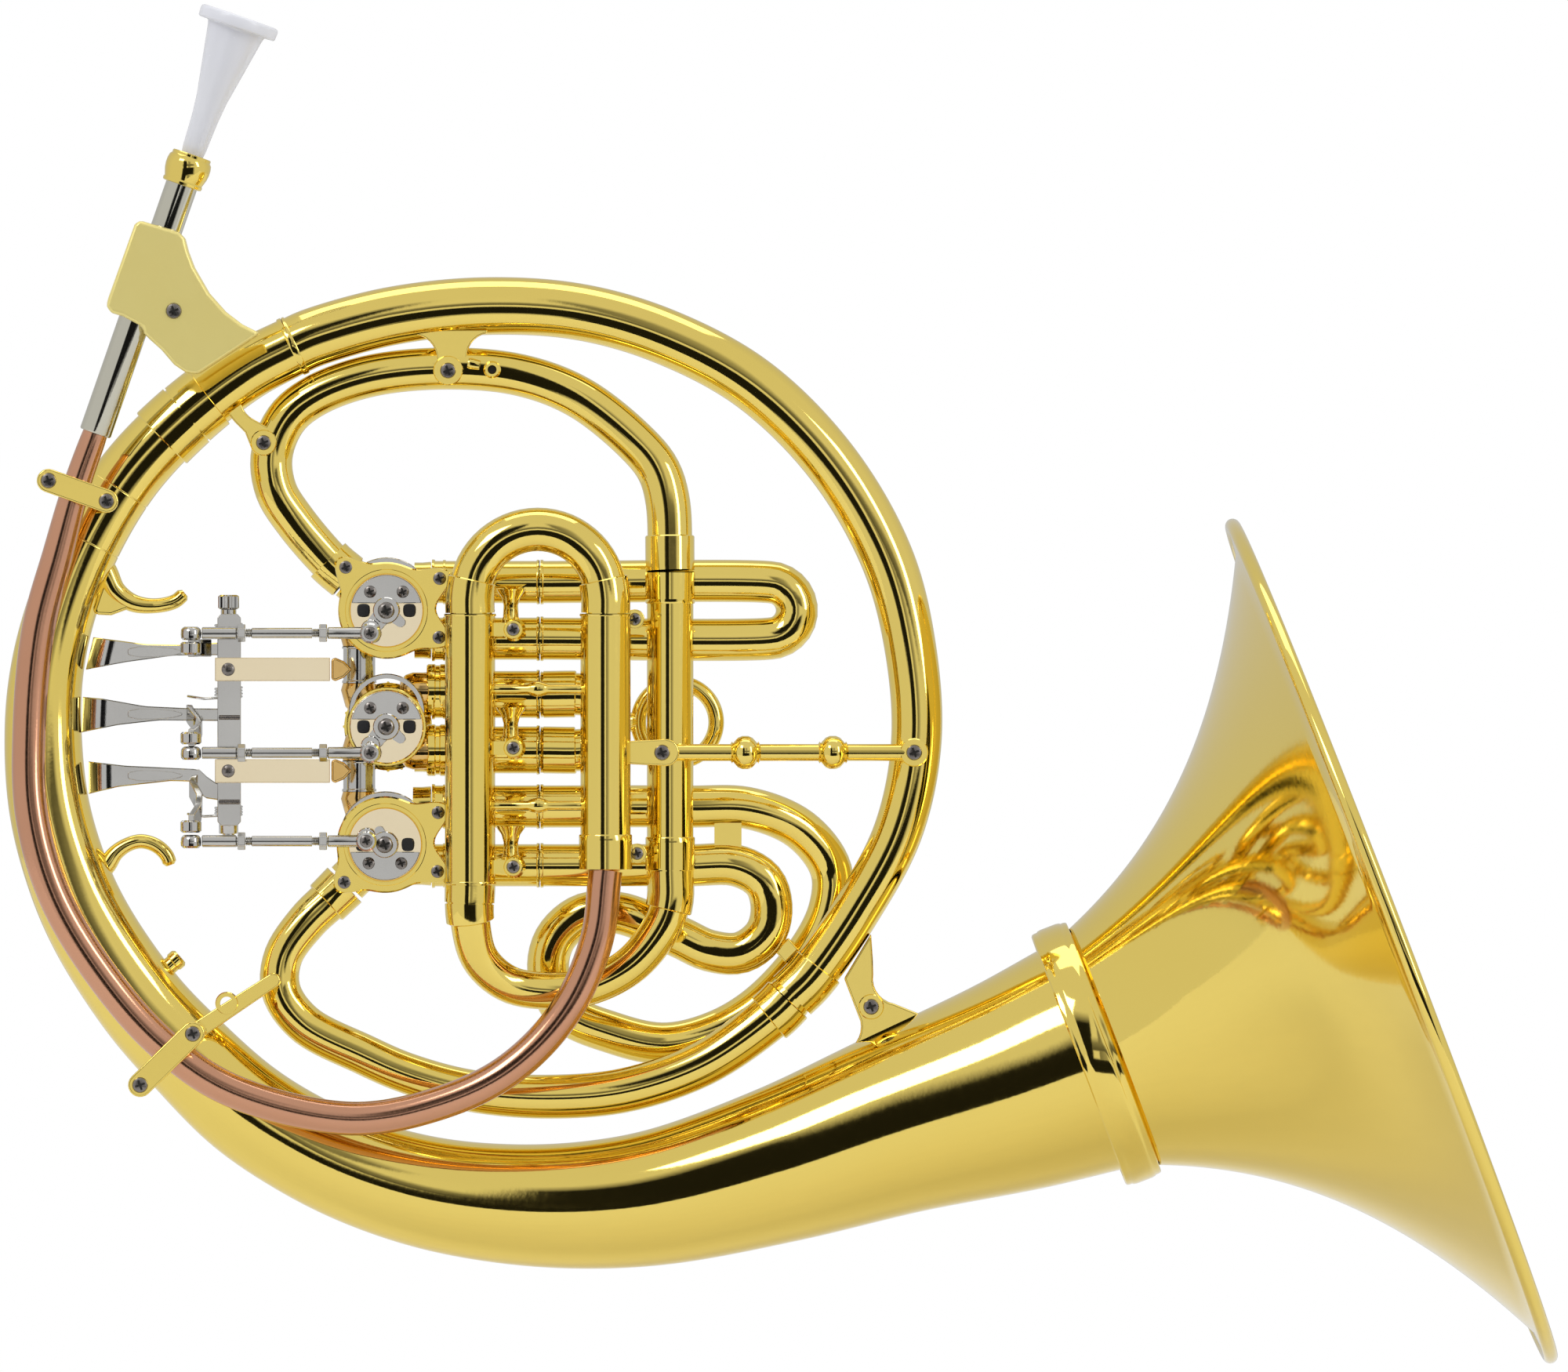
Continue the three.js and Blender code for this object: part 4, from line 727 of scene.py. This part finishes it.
for n, v in VALVES.items():
    x, z = v["x"], v["z"]
    body = [hoop(x, z, 11.6, 13.2 if n == 2 else 14.2, -9.4, 17)]
    if EARS[n]:
        body.append(flange(x, z, EARS[n]))
    for dx, dz in EARS[n]:
        screw(f"screw_valve_{n}_{int(dx)}_{int(dz)}", x + dx, -13.6, z + dz, 2.4)
    if PORTS[n]:
        px, pz, reach = PORTS[n]
        route = [[x + px * far, PORT_Y, z + pz * far, 7.2] for far in (10, 13, reach)]
        body.append(pipe(route, 1.4, [(3, 4, 0.5)], 36))
    for height in (v["top"], v["low"]):
        route = [[far, TUBE_Y, height, v["r"] - 0.5] for far in (x + 9, x + 12, SLEEVE_X - 0.3)]
        body.append(pipe(route, 1.4, [(7, -0.2, 0.4)], 32))
    piece(f"casing_{n}", *merge(*body), GOLD, "horn", [f"valve_casing_{n}"])
    for i, (joint_z, way) in enumerate(KNUCKLES[n]):
        bend = [(KNUCKLE_X, -0.4, 5.2), (43, 3, 5.9), (45, 6.4, 5.9), (50, 9.6, 5.6)]
        route = [[far, PORT_Y, joint_z + way * rise, r] for far, rise, r in bend]
        piece(f"knuckle_elbow_{n}_{i}", *pipe(route, 1.2, (), 32), AMBER)
    if n == 2:
        for i, (dz, way) in enumerate(((13.4, -1), (-9.6, 1))):
            place = (56.6, PORT_Y, z + dz + 1.4 * way)
            piece(f"valve_2_elbow_{i}", *turned(ELBOW_BALL, place, (1, 0.15, 0), 36, True), AMBER)
            place = (65.6, TUBE_Y, z + (12.2 if i == 0 else -7.8))
            piece(f"valve_2_barrel_{i}", *turned(ELBOW_BARREL, place, (1, 0, 0), 40, True), GOLD)
    rotor = turned(ROTOR, (x, 0, z), (0, 1, 0), 48)
    piece(f"rotor_core_{n}", *rotor, ROSE, f"rotor_{n}", [f"rotor_{n}"])
    piece(
        f"bearing_disc_{n}", *hoop(x, z, 3.4, 12.3, -12.9, -9.7, edge=0.4), PALE, "horn",
        [f"bearing_plate_{n}"],
    )
    side = -v["turn"]
    moon = arc(x, z, 11.8, 12, 168, 30) if side > 0 else arc(x, z, 11.8, 192, 348, 30)
    notch = arc(x, z, 3.7, 140, 40, 10) if side > 0 else arc(x, z, 3.7, 320, 220, 10)
    piece(f"half_moon_{n}", *plate(moon + notch, -13.9, -12.9), NICKEL, bevel=0.25)
    for i, dx in enumerate((-5.4, 5.4)):
        screw(f"screw_moon_{n}_{i}", x + dx, -13.9, z + side * 6.2, 2.1)
    piece(
        f"back_disc_{n}", *hoop(x, z + (5 if n == 2 else 2.6), 11, 12.6 if n == 2 else 15, -9.2, -5),
        NICKEL,
    )
    cap = turned(REAR_CAP, (x, 0, z), (0, 1, 0), 64)
    piece(f"rear_cap_{n}", *cap, GOLD, "horn", [f"valve_cap_{n}"])
    for i in range(20):
        a = 2 * math.pi * i / 20
        piece(
            f"rear_cap_grip_{n}_{i}",
            *disc(x + 14.5 * math.cos(a), z + 14.5 * math.sin(a), 0.55, 17.8, 20, 10, 0.1), GOLD
        )
    ax, az = (-5.2, -6.2) if v["turn"] < 0 else (-6, 2.4)
    tx, tz = -az * 0.75, ax * 0.75 * side
    arm = merge(
        disc(x, z, 4.4, -20, -17.8), link((x, z), (x + ax, z + az), 3.0, -19.7, -18.2, 2.6),
        link((x, z), (x + tx, z + tz), 2.4, -19.4, -18.3, 1.6), disc(x + ax, z + az, 3.2, -20, -18),
        disc(x + ax, z + az, 1.5, -21.1, -19.9),
    )
    piece(f"stop_lever_{n}", *arm, NICKEL, f"rotor_{n}", [f"stop_arm_{n}"])
    screw(f"screw_stem_{n}", x, -20, z, 2.9, f"rotor_{n}")
    for i, sign in enumerate((-1, 1)):
        cork = plate(smooth_outline([(x + sign * 7.6 + dx, z + dz) for dx, dz in CORK]), -17, -13.2)
        piece(f"bumper_{n}_{i}", *cork, RUBBER, "horn", [f"stop_bumpers_{n}"], bevel=0.4)

for i, (low, high) in enumerate(((14, 26.2), (-22, -11.7))):
    piece(
        f"knuckle_tube_{i}",
        *tube_up(KNUCKLE_X, PORT_Y, 5.3, low, high, [(0, 0.9, 0.4), (-0.9, 0, 0.4)], 1.0), NICKEL
    )

# ------------------------------------------------------------------ valve slides
for n, v in VALVES.items():
    tubes = []
    for height in (v["top"], v["low"]):
        route = [[far, TUBE_Y, height, v["r"]] for far in (SLEEVE_X, 85, SLIDE_X)]
        tubes.append(pipe(route, 1.3, [(0, 1, 0.5), (3.6, 4.6, 0.35), (-1.0, 0, 0.4)], 36))
    middle, reach = (v["top"] + v["low"]) / 2, (v["top"] - v["low"]) / 2 - v["r"] + 0.6
    brace = [(1.3, -reach), (1.3, -0.9), (2.2, 0), (1.3, 0.9), (1.3, reach)]
    tubes.append(turned(brace, (86, TUBE_Y, middle), (0, 0, 1), 20, True))
    piece(f"sleeves_{n}", *merge(*tubes), GOLD, "horn", [f"slide_sleeves_{n}"])


def slide(points, r, leg_r, extra=()):
    """A valve slide: a tube of radius r whose thinner ends go into the sleeves."""
    depth = SLIDE_X + 0.3 - INSERT_X
    bands = [
        (0, depth, leg_r - r), (depth, depth + 1.0, 0.4), *extra, (-depth - 1.0, -depth, 0.4),
        (-depth, 0, leg_r - r),
    ]
    return pipe(points, r - leg_r + 0.8, bands, 36)


def u_bend(v, end_x, r):
    """A slide's route out of the upper sleeve, round and back into the lower one."""
    half, middle = (v["top"] - v["low"]) / 2, (v["top"] + v["low"]) / 2
    points = [[INSERT_X, TUBE_Y, v["top"], r], [SLIDE_X, TUBE_Y, v["top"], r]]
    points += [
        [end_x + half * math.sin(a), TUBE_Y, middle + half * math.cos(a), r]
        for a in np.linspace(0, math.pi, 9)
    ]
    return points + [[SLIDE_X, TUBE_Y, v["low"], r], [INSERT_X, TUBE_Y, v["low"], r]]


piece("slide_1_bow", *slide(u_bend(VALVES[1], 179, 7), 7, 5.4), GOLD, "valve_slide_1", ["valve_slide_1"])
ring_round = [
    (12.9 + 2.6 * math.cos(a), 2.6 * math.sin(a))
    for a in np.linspace(0, 2 * math.pi, 24, endpoint=False)
]
slide_2 = merge(
    slide(u_bend(VALVES[2], 117, 7), 7, 6.2, [(33.3, 45, 0.8), (-45, -33.3, 0.8)]),
    turned(ring_round, (148.7, TUBE_Y, 1), (0, 1, 0), 72, closed=True),
    turned([(0, 0), (3, 0), (3.4, 1.2), (2.6, 2.6), (0, 2.6)], (132.6, TUBE_Y, 1), (1, 0, 0), 24),
)
piece("slide_2_bow", *slide_2, GOLD, "valve_slide_2", ["valve_slide_2"])
LOOP = [
    [INSERT_X, TUBE_Y, -27, 7], [SLIDE_X, TUBE_Y, -27, 7], [152, TUBE_Y, -27, 7], [172.6, 9, -27.6, 7],
    [190, 14, -35, 7], [199.7, 17, -48, 7], [199.2, 17, -61, 7], [192, 17, -75.4, 7],
    [176.3, 17, -92.8, 7], [161.2, 16.5, -101.9, 7], [144.3, 16, -105.8, 7], [127, 15.5, -102.2, 7],
    [111.3, 15, -94.9, 7], [105.8, 14.5, -82, 7], [108, 13.5, -71, 7], [117, 12.5, -63, 7],
    [129.5, 11.5, -62.4, 7], [149, 10, -70.2, 7], [159.4, 9, -74.9, 7], [169.8, 8, -75.5, 7],
    [177.6, 7.5, -69.7, 7], [180, 7, -61, 7], [177.5, 6.3, -52, 7], [168.7, TUBE_Y, -46.7, 7],
    [152, TUBE_Y, -46.5, 7], [SLIDE_X, TUBE_Y, -46.5, 7], [INSERT_X, TUBE_Y, -46.5, 7],
]
piece(
    "slide_3_loop", *merge(slide(LOOP, 7, 5.4), brick(161, 170, 3, 9, -41.6, -32.4)), GOLD,
    "valve_slide_3", ["valve_slide_3"],
)
piece(
    "slide_3_spacer", *plate([(181, -75), (184.5, -79), (189, -74.5), (185.5, -70.5)], 9.6, 16), GOLD,
    "valve_slide_3", bevel=0.6,
)

# ------------------------------------------------------------------ levers and linkage
LEVERS = {
    1: dict(
        low=22.9, high=36, eye=(23.4, 27.6), spring=(29.5, 34), rod=30.5, foot=24.3,
        edges=(
            [(-47.3, 18.4), (-34, 20.9), (-18, 23.1), (-2, 23.2)],
            [(-44.9, 29.2), (-40.3, 28.6), (-27.6, 26.9), (-14, 26.6), (-2, 27.5)],
        ),
        crank=[(-6.4, -5.4, 25.6), (-8.2, -8, 25.6), (-10, -12, 25.6), (-11, -17, 25.5), (-12, -22, 25.5)],
    ),
    2: dict(
        low=-10.7, high=14.1, eye=(-6.3, -2.2), spring=(8, 13), rod=-9.1, foot=3.7,
        edges=(
            [(-48.8, -2.4), (-36.4, 0.1), (-23, 1.6), (-2, 1.4)],
            [(-48.3, 9.4), (-41.6, 8.8), (-27.6, 6.3), (-12, 5.6), (-2, 5.5)],
        ),
        crank=[(-13, -5.6, 4), (-12.4, -8, 3), (-9.5, -12, -0.4), (-10, -17, -2.6), (-12, -22, -4.2)],
    ),
    3: dict(
        low=-36, high=-19.6, eye=(-35.5, -31.4), spring=(-31, -26.5), rod=-38.3, foot=-16.7,
        edges=(
            [(-46.4, -22.8), (-36.4, -20.4), (-19.2, -18.5), (-12, -18.7), (-9, -24), (-2, -25)],
            [(-46.4, -12), (-34.3, -13.4), (-9, -14.6), (-6.4, -18), (-2, -20)],
        ),
        crank=[(-11, -5.6, -19), (-12, -8, -21), (-9.5, -12, -25.6), (-9.8, -17, -29), (-12, -22, -32.6)],
    ),
}


def strap(stations, front, back):
    """A chamfered strip through (lower point, upper point, curl) stations, so that it can bend away."""
    edge = 0.35
    rows = []
    for (x_low, low), (x_high, high), curl in stations:
        corners = [
            (edge, front), (-edge, front), (0, front + edge), (0, back - edge), (-edge, back),
            (edge, back), (0, back - edge), (0, front + edge),
        ]
        ends = (0, 1, 1, 1, 1, 0, 0, 0)
        rows.append([
            ((x_low, x_high)[end], y + curl, (low, high)[end] + shift)
            for (shift, y), end in zip(corners, ends)
        ])
    verts, faces = rings([np.array(row) for row in rows], False)
    last = len(verts) - 8
    faces += [[7, 6, 5, 4, 3, 2, 1, 0], [last + i for i in range(8)]]
    return verts, [face[::-1] for face in faces]


def touch_stations(lower, upper, steps=26):
    """Stations between a lower and an upper edge line. The free end curls away from the fingers."""
    out = []
    for t in np.linspace(0, 1, steps) ** 1.5:
        ends = []
        for edge in (lower, upper):
            x = edge[0][0] + (edge[-1][0] - edge[0][0]) * t
            ends.append((x, np.interp(x, [p[0] for p in edge], [p[1] for p in edge])))
        out.append((*ends, 3.4 * max(0.0, 1 - t * 7) ** 1.6))
    return out


def crank(stations):
    """A bent strap through (x, y, z) stations, CRANK_HALF to each side in Z."""
    thick = 1.1
    rows = []
    path = np.array([(x, y, z) for x, y, z in stations], float)
    for i, (x, y, z) in enumerate(path):
        ahead = path[min(i + 1, len(path) - 1)] - path[max(i - 1, 0)]
        side = np.array([-ahead[1], ahead[0], 0]) / max(math.hypot(ahead[0], ahead[1]), 1e-6)
        rows.append([
            (x + sx * side[0] * thick, y + sx * side[1] * thick, z + sz * CRANK_HALF)
            for sx, sz in ((-1, -1), (1, -1), (1, 1), (-1, 1))
        ])
    verts, faces = rings([np.array(row) for row in rows], False)
    last = len(verts) - 4
    return verts, faces + [[3, 2, 1, 0], [last, last + 1, last + 2, last + 3]]


def ball_stack(x, y, low, high):
    """The rod's ball end in its socket, as a stack of turned collars."""
    middle = (low + high) / 2
    profile = [
        (0, -2.3), (2.6, -2.3), (3.3, -1.6), (3.4, -0.4), (3.3, 1.1), (2.7, 1.8), (2.2, 2.1), (0, 2.1),
    ]
    return turned([(r, s + middle) for r, s in profile], (x, y, 0), (0, 0, 1), 32)


def thread(start, count):
    """Fine ridges along a rod, as (radius, distance) points."""
    return [(1.15 + 0.4 * (i % 2), start + 0.25 * i) for i in range(count)]


for n, lever in LEVERS.items():
    low, high, (eye_low, eye_high) = lever["low"], lever["high"], lever["eye"]
    body = f"lever_{n}"
    sleeve = turned(
        [(2.3, low), (3, low), (3.2, low + 0.3), (3.2, high - 0.3), (3, high), (2.3, high)],
        (0, SHAFT_Y, 0), (0, 0, 1), 36, True,
    )
    eye = turned(
        [
            (0, eye_low), (2.9, eye_low), (3.5, eye_low + 0.6), (3.5, eye_high - 0.6), (2.9, eye_high),
            (0, eye_high),
        ],
        (EYE_X, ROD_Y, 0), (0, 0, 1), 32,
    )
    piece(f"lever_body_{n}", *merge(sleeve, eye), NICKEL, body, [f"lever_{n}"])
    piece(f"lever_arm_{n}", *crank(lever["crank"]), NICKEL, body, bevel=0.3)
    piece(
        f"touchpiece_{n}", *strap(touch_stations(*lever["edges"]), SHAFT_Y - 2.2, SHAFT_Y - 0.6), NICKEL,
        body,
    )
    tip_z = lever["foot"]
    rib = [(-33, tip_z - 1.1), (-15.5, tip_z - 0.5), (-15.5, tip_z + 0.5), (-33, tip_z + 1.1)]
    piece(
        f"touchpiece_rib_{n}", *plate(smooth_outline(rib, 4), SHAFT_Y - 2.9, SHAFT_Y - 2.1), NICKEL, body,
        bevel=0.25,
    )
    low_s, high_s = lever["spring"]
    turns = 4
    spring_coil = [
        [
            4.3 * math.cos(a), SHAFT_Y + 4.3 * math.sin(a),
            low_s + 0.5 + (high_s - low_s - 1) * a / (2 * math.pi * turns),
        ]
        for a in np.linspace(1.5 * math.pi, 2 * math.pi * turns, 12 * turns)
    ]
    curve = bpy.data.curves.new(f"spring_wire_{n}", "CURVE")
    curve.dimensions = "3D"
    curve.bevel_depth = 0.45 * MM
    curve.bevel_resolution = 3
    spline = curve.splines.new("POLY")
    wire_route = [[-13.5, SHAFT_Y + 1.6, low_s + 1.6], [-8, SHAFT_Y - 4.6, low_s + 0.8], *spring_coil]
    spline.points.add(len(wire_route) - 1)
    for point, (px, py, pz) in zip(spline.points, wire_route):
        point.co = (px * MM, py * MM, pz * MM, 1)
    wire = bpy.data.objects.new(f"spring_{n}", curve)
    curve.materials.append(NICKEL)
    bpy.context.scene.collection.objects.link(wire)
    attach(wire, "horn")
    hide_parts(f"lever_spring_{n}")

    v = VALVES[n]
    eye_x = v["x"] + (-5.2 if v["turn"] < 0 else -6)
    rz = lever["rod"]
    rows = [(0, -8.4), (1.7, -8.4), (2, -8.1), (2, 2.8), (1.7, 3.1), (1.2, 3.2), *thread(6.2, 8), (1.2, 8)]
    rows += [(1.75, 8.2), (1.75, 28), (1.2, 28.2), *thread(28.4, 9), (1.2, 33.1), (1.7, 33.2)]
    rows += [(1.95, 33.5), (1.95, eye_x - 3), (1.5, eye_x - 2), (0, eye_x - 2)]
    rod = turned(rows, (0, ROD_Y, rz), (1, 0, 0), 24)
    nuts = [
        turned([(1.0, s), (3.0, s), (3.0, s + 2.6), (1.0, s + 2.6)], (0, ROD_Y, rz), (1, 0, 0), 6, True)
        for s in (3.4, 30.4)
    ]
    piece(
        f"rod_{n}", *merge(rod, disc(eye_x, rz, 3.4, ROD_Y - 2.7, ROD_Y + 2.2, 32, 0.6)), NICKEL,
        f"link_rod_{n}", [f"link_rod_{n}"],
    )
    for i, nut in enumerate(nuts):
        piece(f"rod_nut_{n}_{i}", *nut, NICKEL, f"link_rod_{n}", bevel=0.3)
    piece(f"rod_ball_{n}", *ball_stack(EYE_X, ROD_Y, rz - 2.3, rz + 2.3), NICKEL, f"link_rod_{n}")
    screw(f"screw_rod_{n}", eye_x, ROD_Y - 2.7, rz, 2.2, f"link_rod_{n}")

shaft = [
    upright(0, SHAFT_Y, 2, -38, 38, 24), upright(0, SHAFT_Y, 2.6, 36.4, 38.5, 24),
    upright(0, SHAFT_Y, 2.6, -38.2, -36.4, 24),
]
piece("shaft_rod", *merge(*shaft), NICKEL, "horn", ["lever_shaft"])


def knurl(name, low, high):
    """A ridged knob on the shaft's end."""
    r, teeth = 3.5, 22
    outline = []
    for i in range(teeth * 2):
        a = math.pi * i / teeth
        outline.append((r if i % 2 else r - 0.4, a))
    rows = []
    for height, shrink in ((low, 0.7), (low + 0.5, 0), (high - 0.5, 0), (high, 0.7)):
        rows.append([
            ((q - shrink) * math.cos(a), SHAFT_Y + (q - shrink) * math.sin(a), height)
            for q, a in outline
        ])
    rows = [[(0, SHAFT_Y, low)], *rows, [(0, SHAFT_Y, high)]]
    piece(name, *rings([np.array(row) for row in rows], False), NICKEL)


carriage = [
    (-3.6, -32), (-2.4, -33.3), (3, -33.3), (4.2, -32), (4.2, 35.6), (3, 36.9), (-2.4, 36.9), (-3.6, 35.6),
]
piece("lever_carriage", *plate(carriage, SHAFT_Y - 5, SHAFT_Y - 4.2), NICKEL, bevel=0.25)
for i, height in enumerate((2.6, -25.4)):
    piece(
        f"carriage_pin_{i}",
        *turned([(0, -3.2), (0.8, -3), (0.8, 3.8), (0, 4)], (0, SHAFT_Y - 5.1, height), (1, 0, 0), 16),
        STEEL,
    )
knurl("shaft_knob_top", 38.4, 43.2)
knurl("shaft_knob_low", -40.3, -38)
bar_front = SHAFT_Y - 6
for name, low, high in (("upper", 14.6, 22.4), ("lower", -19.1, -11.2)):
    middle = (low + high) / 2
    bar = [(-4.4, low), (33.7, low), (33.7, high), (-4.4, high)]
    tip = [
        (34.1, low + 0.4), (35.5, low), (38.4, low + 1.2), (41.1, middle), (38.4, high - 1.2),
        (35.5, high), (34.1, high - 0.4),
    ]
    piece(
        f"support_strap_{name}", *plate(bar, bar_front, bar_front + 1.3), PALE, "horn",
        [f"lever_support_{name}"], bevel=0.3,
    )
    piece(f"support_tip_{name}", *plate(tip, bar_front + 1.2, bar_front + 5), AMBER, bevel=0.8)
    piece(f"support_lug_{name}", *hoop(0, middle, 0.1, 3.7, bar_front + 1.2, bar_front + 1.6, 24), PALE)
    piece(
        f"support_rivet_{name}",
        *turned(
            [(0, 0), (1.9, -0.1), (2.2, -0.6), (1.6, -1.1), (0, -1.3)], (0, bar_front, middle), (0, 1, 0),
            24,
        ),
        STEEL,
    )

# ------------------------------------------------------------------ hooks, braces and clamps
HOOK_UPPER = [
    [-46, 0, 58, 4.2], [-41, 0, 51, 4], [-37.6, 0, 44.6, 3.5], [-32, 0, 40.6, 3], [-25, 0, 39.6, 2.5],
    [-18, 0, 41, 2.4], [-14.6, 0, 43.8, 2.3],
]
HOOK_LOWER = [
    [-50, 0, -54, 3.6], [-41, 0, -47, 3.2], [-37.6, 0, -42.4, 2.7], [-33.5, 0, -39.6, 2.4],
    [-29, 0, -38.5, 2.4], [-24, 0, -40, 2.4], [-20.6, 0, -43.2, 2.4], [-19.4, 0, -46.4, 2.3],
]
HOOK_WEB = [
    (-44.6, 56), *arc(-30.6, 49.2, 7.4, 180, 262, 9), (-33, 38.6), (-39, 36.4), (-44.2, 36.6), (-46, 44),
]
piece("hook_upper", *pipe(HOOK_UPPER, 0, (), 32, 1.0, 0.9), GOLD, "horn", ["finger_hook"])
piece("hook_upper_web", *plate(HOOK_WEB, -2.4, 2.4), GOLD, bevel=1.4)
piece("hook_lower", *pipe(HOOK_LOWER, 0, (), 32, 1.0, 0.9), GOLD, "horn", ["little_finger_hook"])
knob = turned(
    [(0, 10), (2.9, 10), (2.9, 14.6), (3.3, 15), (3.3, 17), (2.6, 17.8), (0, 17.9)], (-29.5, 0, -88.5),
    (0.75, 0, 0.66), 28,
)
piece("drain_knob", *knob, GOLD)
BULB = [
    (-4.9, 2.8), (-4.4, 3.6), (-4, 3.1), (-3.6, 3.6), (-2.4, 4.9), (-1, 5.5), (1, 5.5), (2.4, 4.9),
    (3.6, 3.6), (4, 3.1), (4.4, 3.6), (4.9, 2.8),
]
brace_start, brace_end = np.array([147, -21, BRACE_Z]), np.array([224, -12.4, BRACE_Z])
bulbs = [(r, middle + s) for middle in (24.4, 53.6) for s, r in BULB]
rod = [(0, 0), (2.8, 0.1), *bulbs, (2.8, 77.3), (0, 77.4)]
piece("brace_rod", *turned(rod, brace_start, brace_end - brace_start, 36), GOLD, "horn", ["cross_brace"])
piece("brace_lug", *link((134, BRACE_Z), (145, BRACE_Z), 3.9, -24.6, -19.6, 4.5), GOLD, bevel=0.6)
piece("brace_boss", *disc(227.2, BRACE_Z, 4.7, -15.2, -8.4), GOLD)
screw("screw_brace_left", 143.8, -24.6, BRACE_Z, 2.7)
screw("screw_brace_right", 227.2, -15.2, BRACE_Z, 2.7)
STAY = [
    (0, 8), (1.5, 8.2), (1.5, 19), (2.1, 20), (2.7, 22.4), (2.1, 24.8), (1.5, 25.8), (1.5, 36.6), (0, 36.8),
]
for i, height in enumerate((12, -26.5)):
    piece(f"leg_stay_{i}", *turned(STAY, (LEFT_X, LEG_Y + 3, height), (1, 0, 0), 24), GOLD)
for i, (sx, sz) in enumerate(((134.7, 35.1), (135.5, -42.4))):
    piece(f"leg_tie_{i}", *link((RIGHT_X + 6, sz), (sx, sz), 2.6, -19.8, -16.4, 3.3), GOLD, bevel=0.4)
    screw(f"screw_tie_{i}", sx, -19.8, sz, 2.2)
BELL_BRACE = [
    (204, -84), (213, -69), (213.6, -78), *arc(222, -84, 8.4, 170, 260, 8), (231, -96.5), (229, -102.5),
    (214, -107.5), (201, -111), *arc(201, -100, 8.6, 300, 372, 7),
]
piece("bell_brace_plate", *plate(BELL_BRACE, -3.2, 3.2), GOLD, "horn", ["bell_brace"], bevel=0.7)
piece("bell_brace_boss", *disc(213, -93.3, 4.2, -6.4, 3), GOLD)
screw("screw_bell_brace", 213, -6.4, -93.3, 2.7)
piece(
    "clamp_bar_upper", *link((-59, 80.9), (-39.8, 74.1), 3.9, -27.6, -25), GOLD, "horn", ["upper_clamp"],
    bevel=0.6,
)
piece(
    "clamp_post_upper",
    *turned([(3.4, -25.4), (3.4, -18), (2.6, -16), (2.6, -9)], (-39.8, 0, 74.1), (0, 1, 0), 32, True),
    GOLD,
)
piece(
    "clamp_bar_lower", *link((-11.2, -101.9), (-28.6, -118.8), 4, -32.2, -29.4), GOLD, "horn",
    ["lower_clamp"], bevel=0.6,
)
piece("clamp_post_lower", *disc(-10.2, -101.1, 2.8, -30, -12), GOLD)
piece("clamp_link_lower", *link((-10.2, -101.1), (15, -84.5), 2.9, -17.4, -14.4, 2.4), GOLD, bevel=0.5)
piece("clamp_link_ring", *hoop(-0.3, -92, 2.2, 3.8, -17.6, -14.2), GOLD)
piece("clamp_link_post", *disc(15, -84.5, 2.5, -15, -4), GOLD)
CLAMP_SCREWS = {
    "upper_a": (-59, -27.6, 80.9),
    "upper_b": (-39.8, -27.6, 74.1),
    "lower_a": (-11.2, -32.2, -101.9),
    "lower_b": (-28.6, -32.2, -118.8),
}
for name, (sx, sy, sz) in CLAMP_SCREWS.items():
    screw(f"screw_clamp_{name}", sx, sy, sz, 2.7)
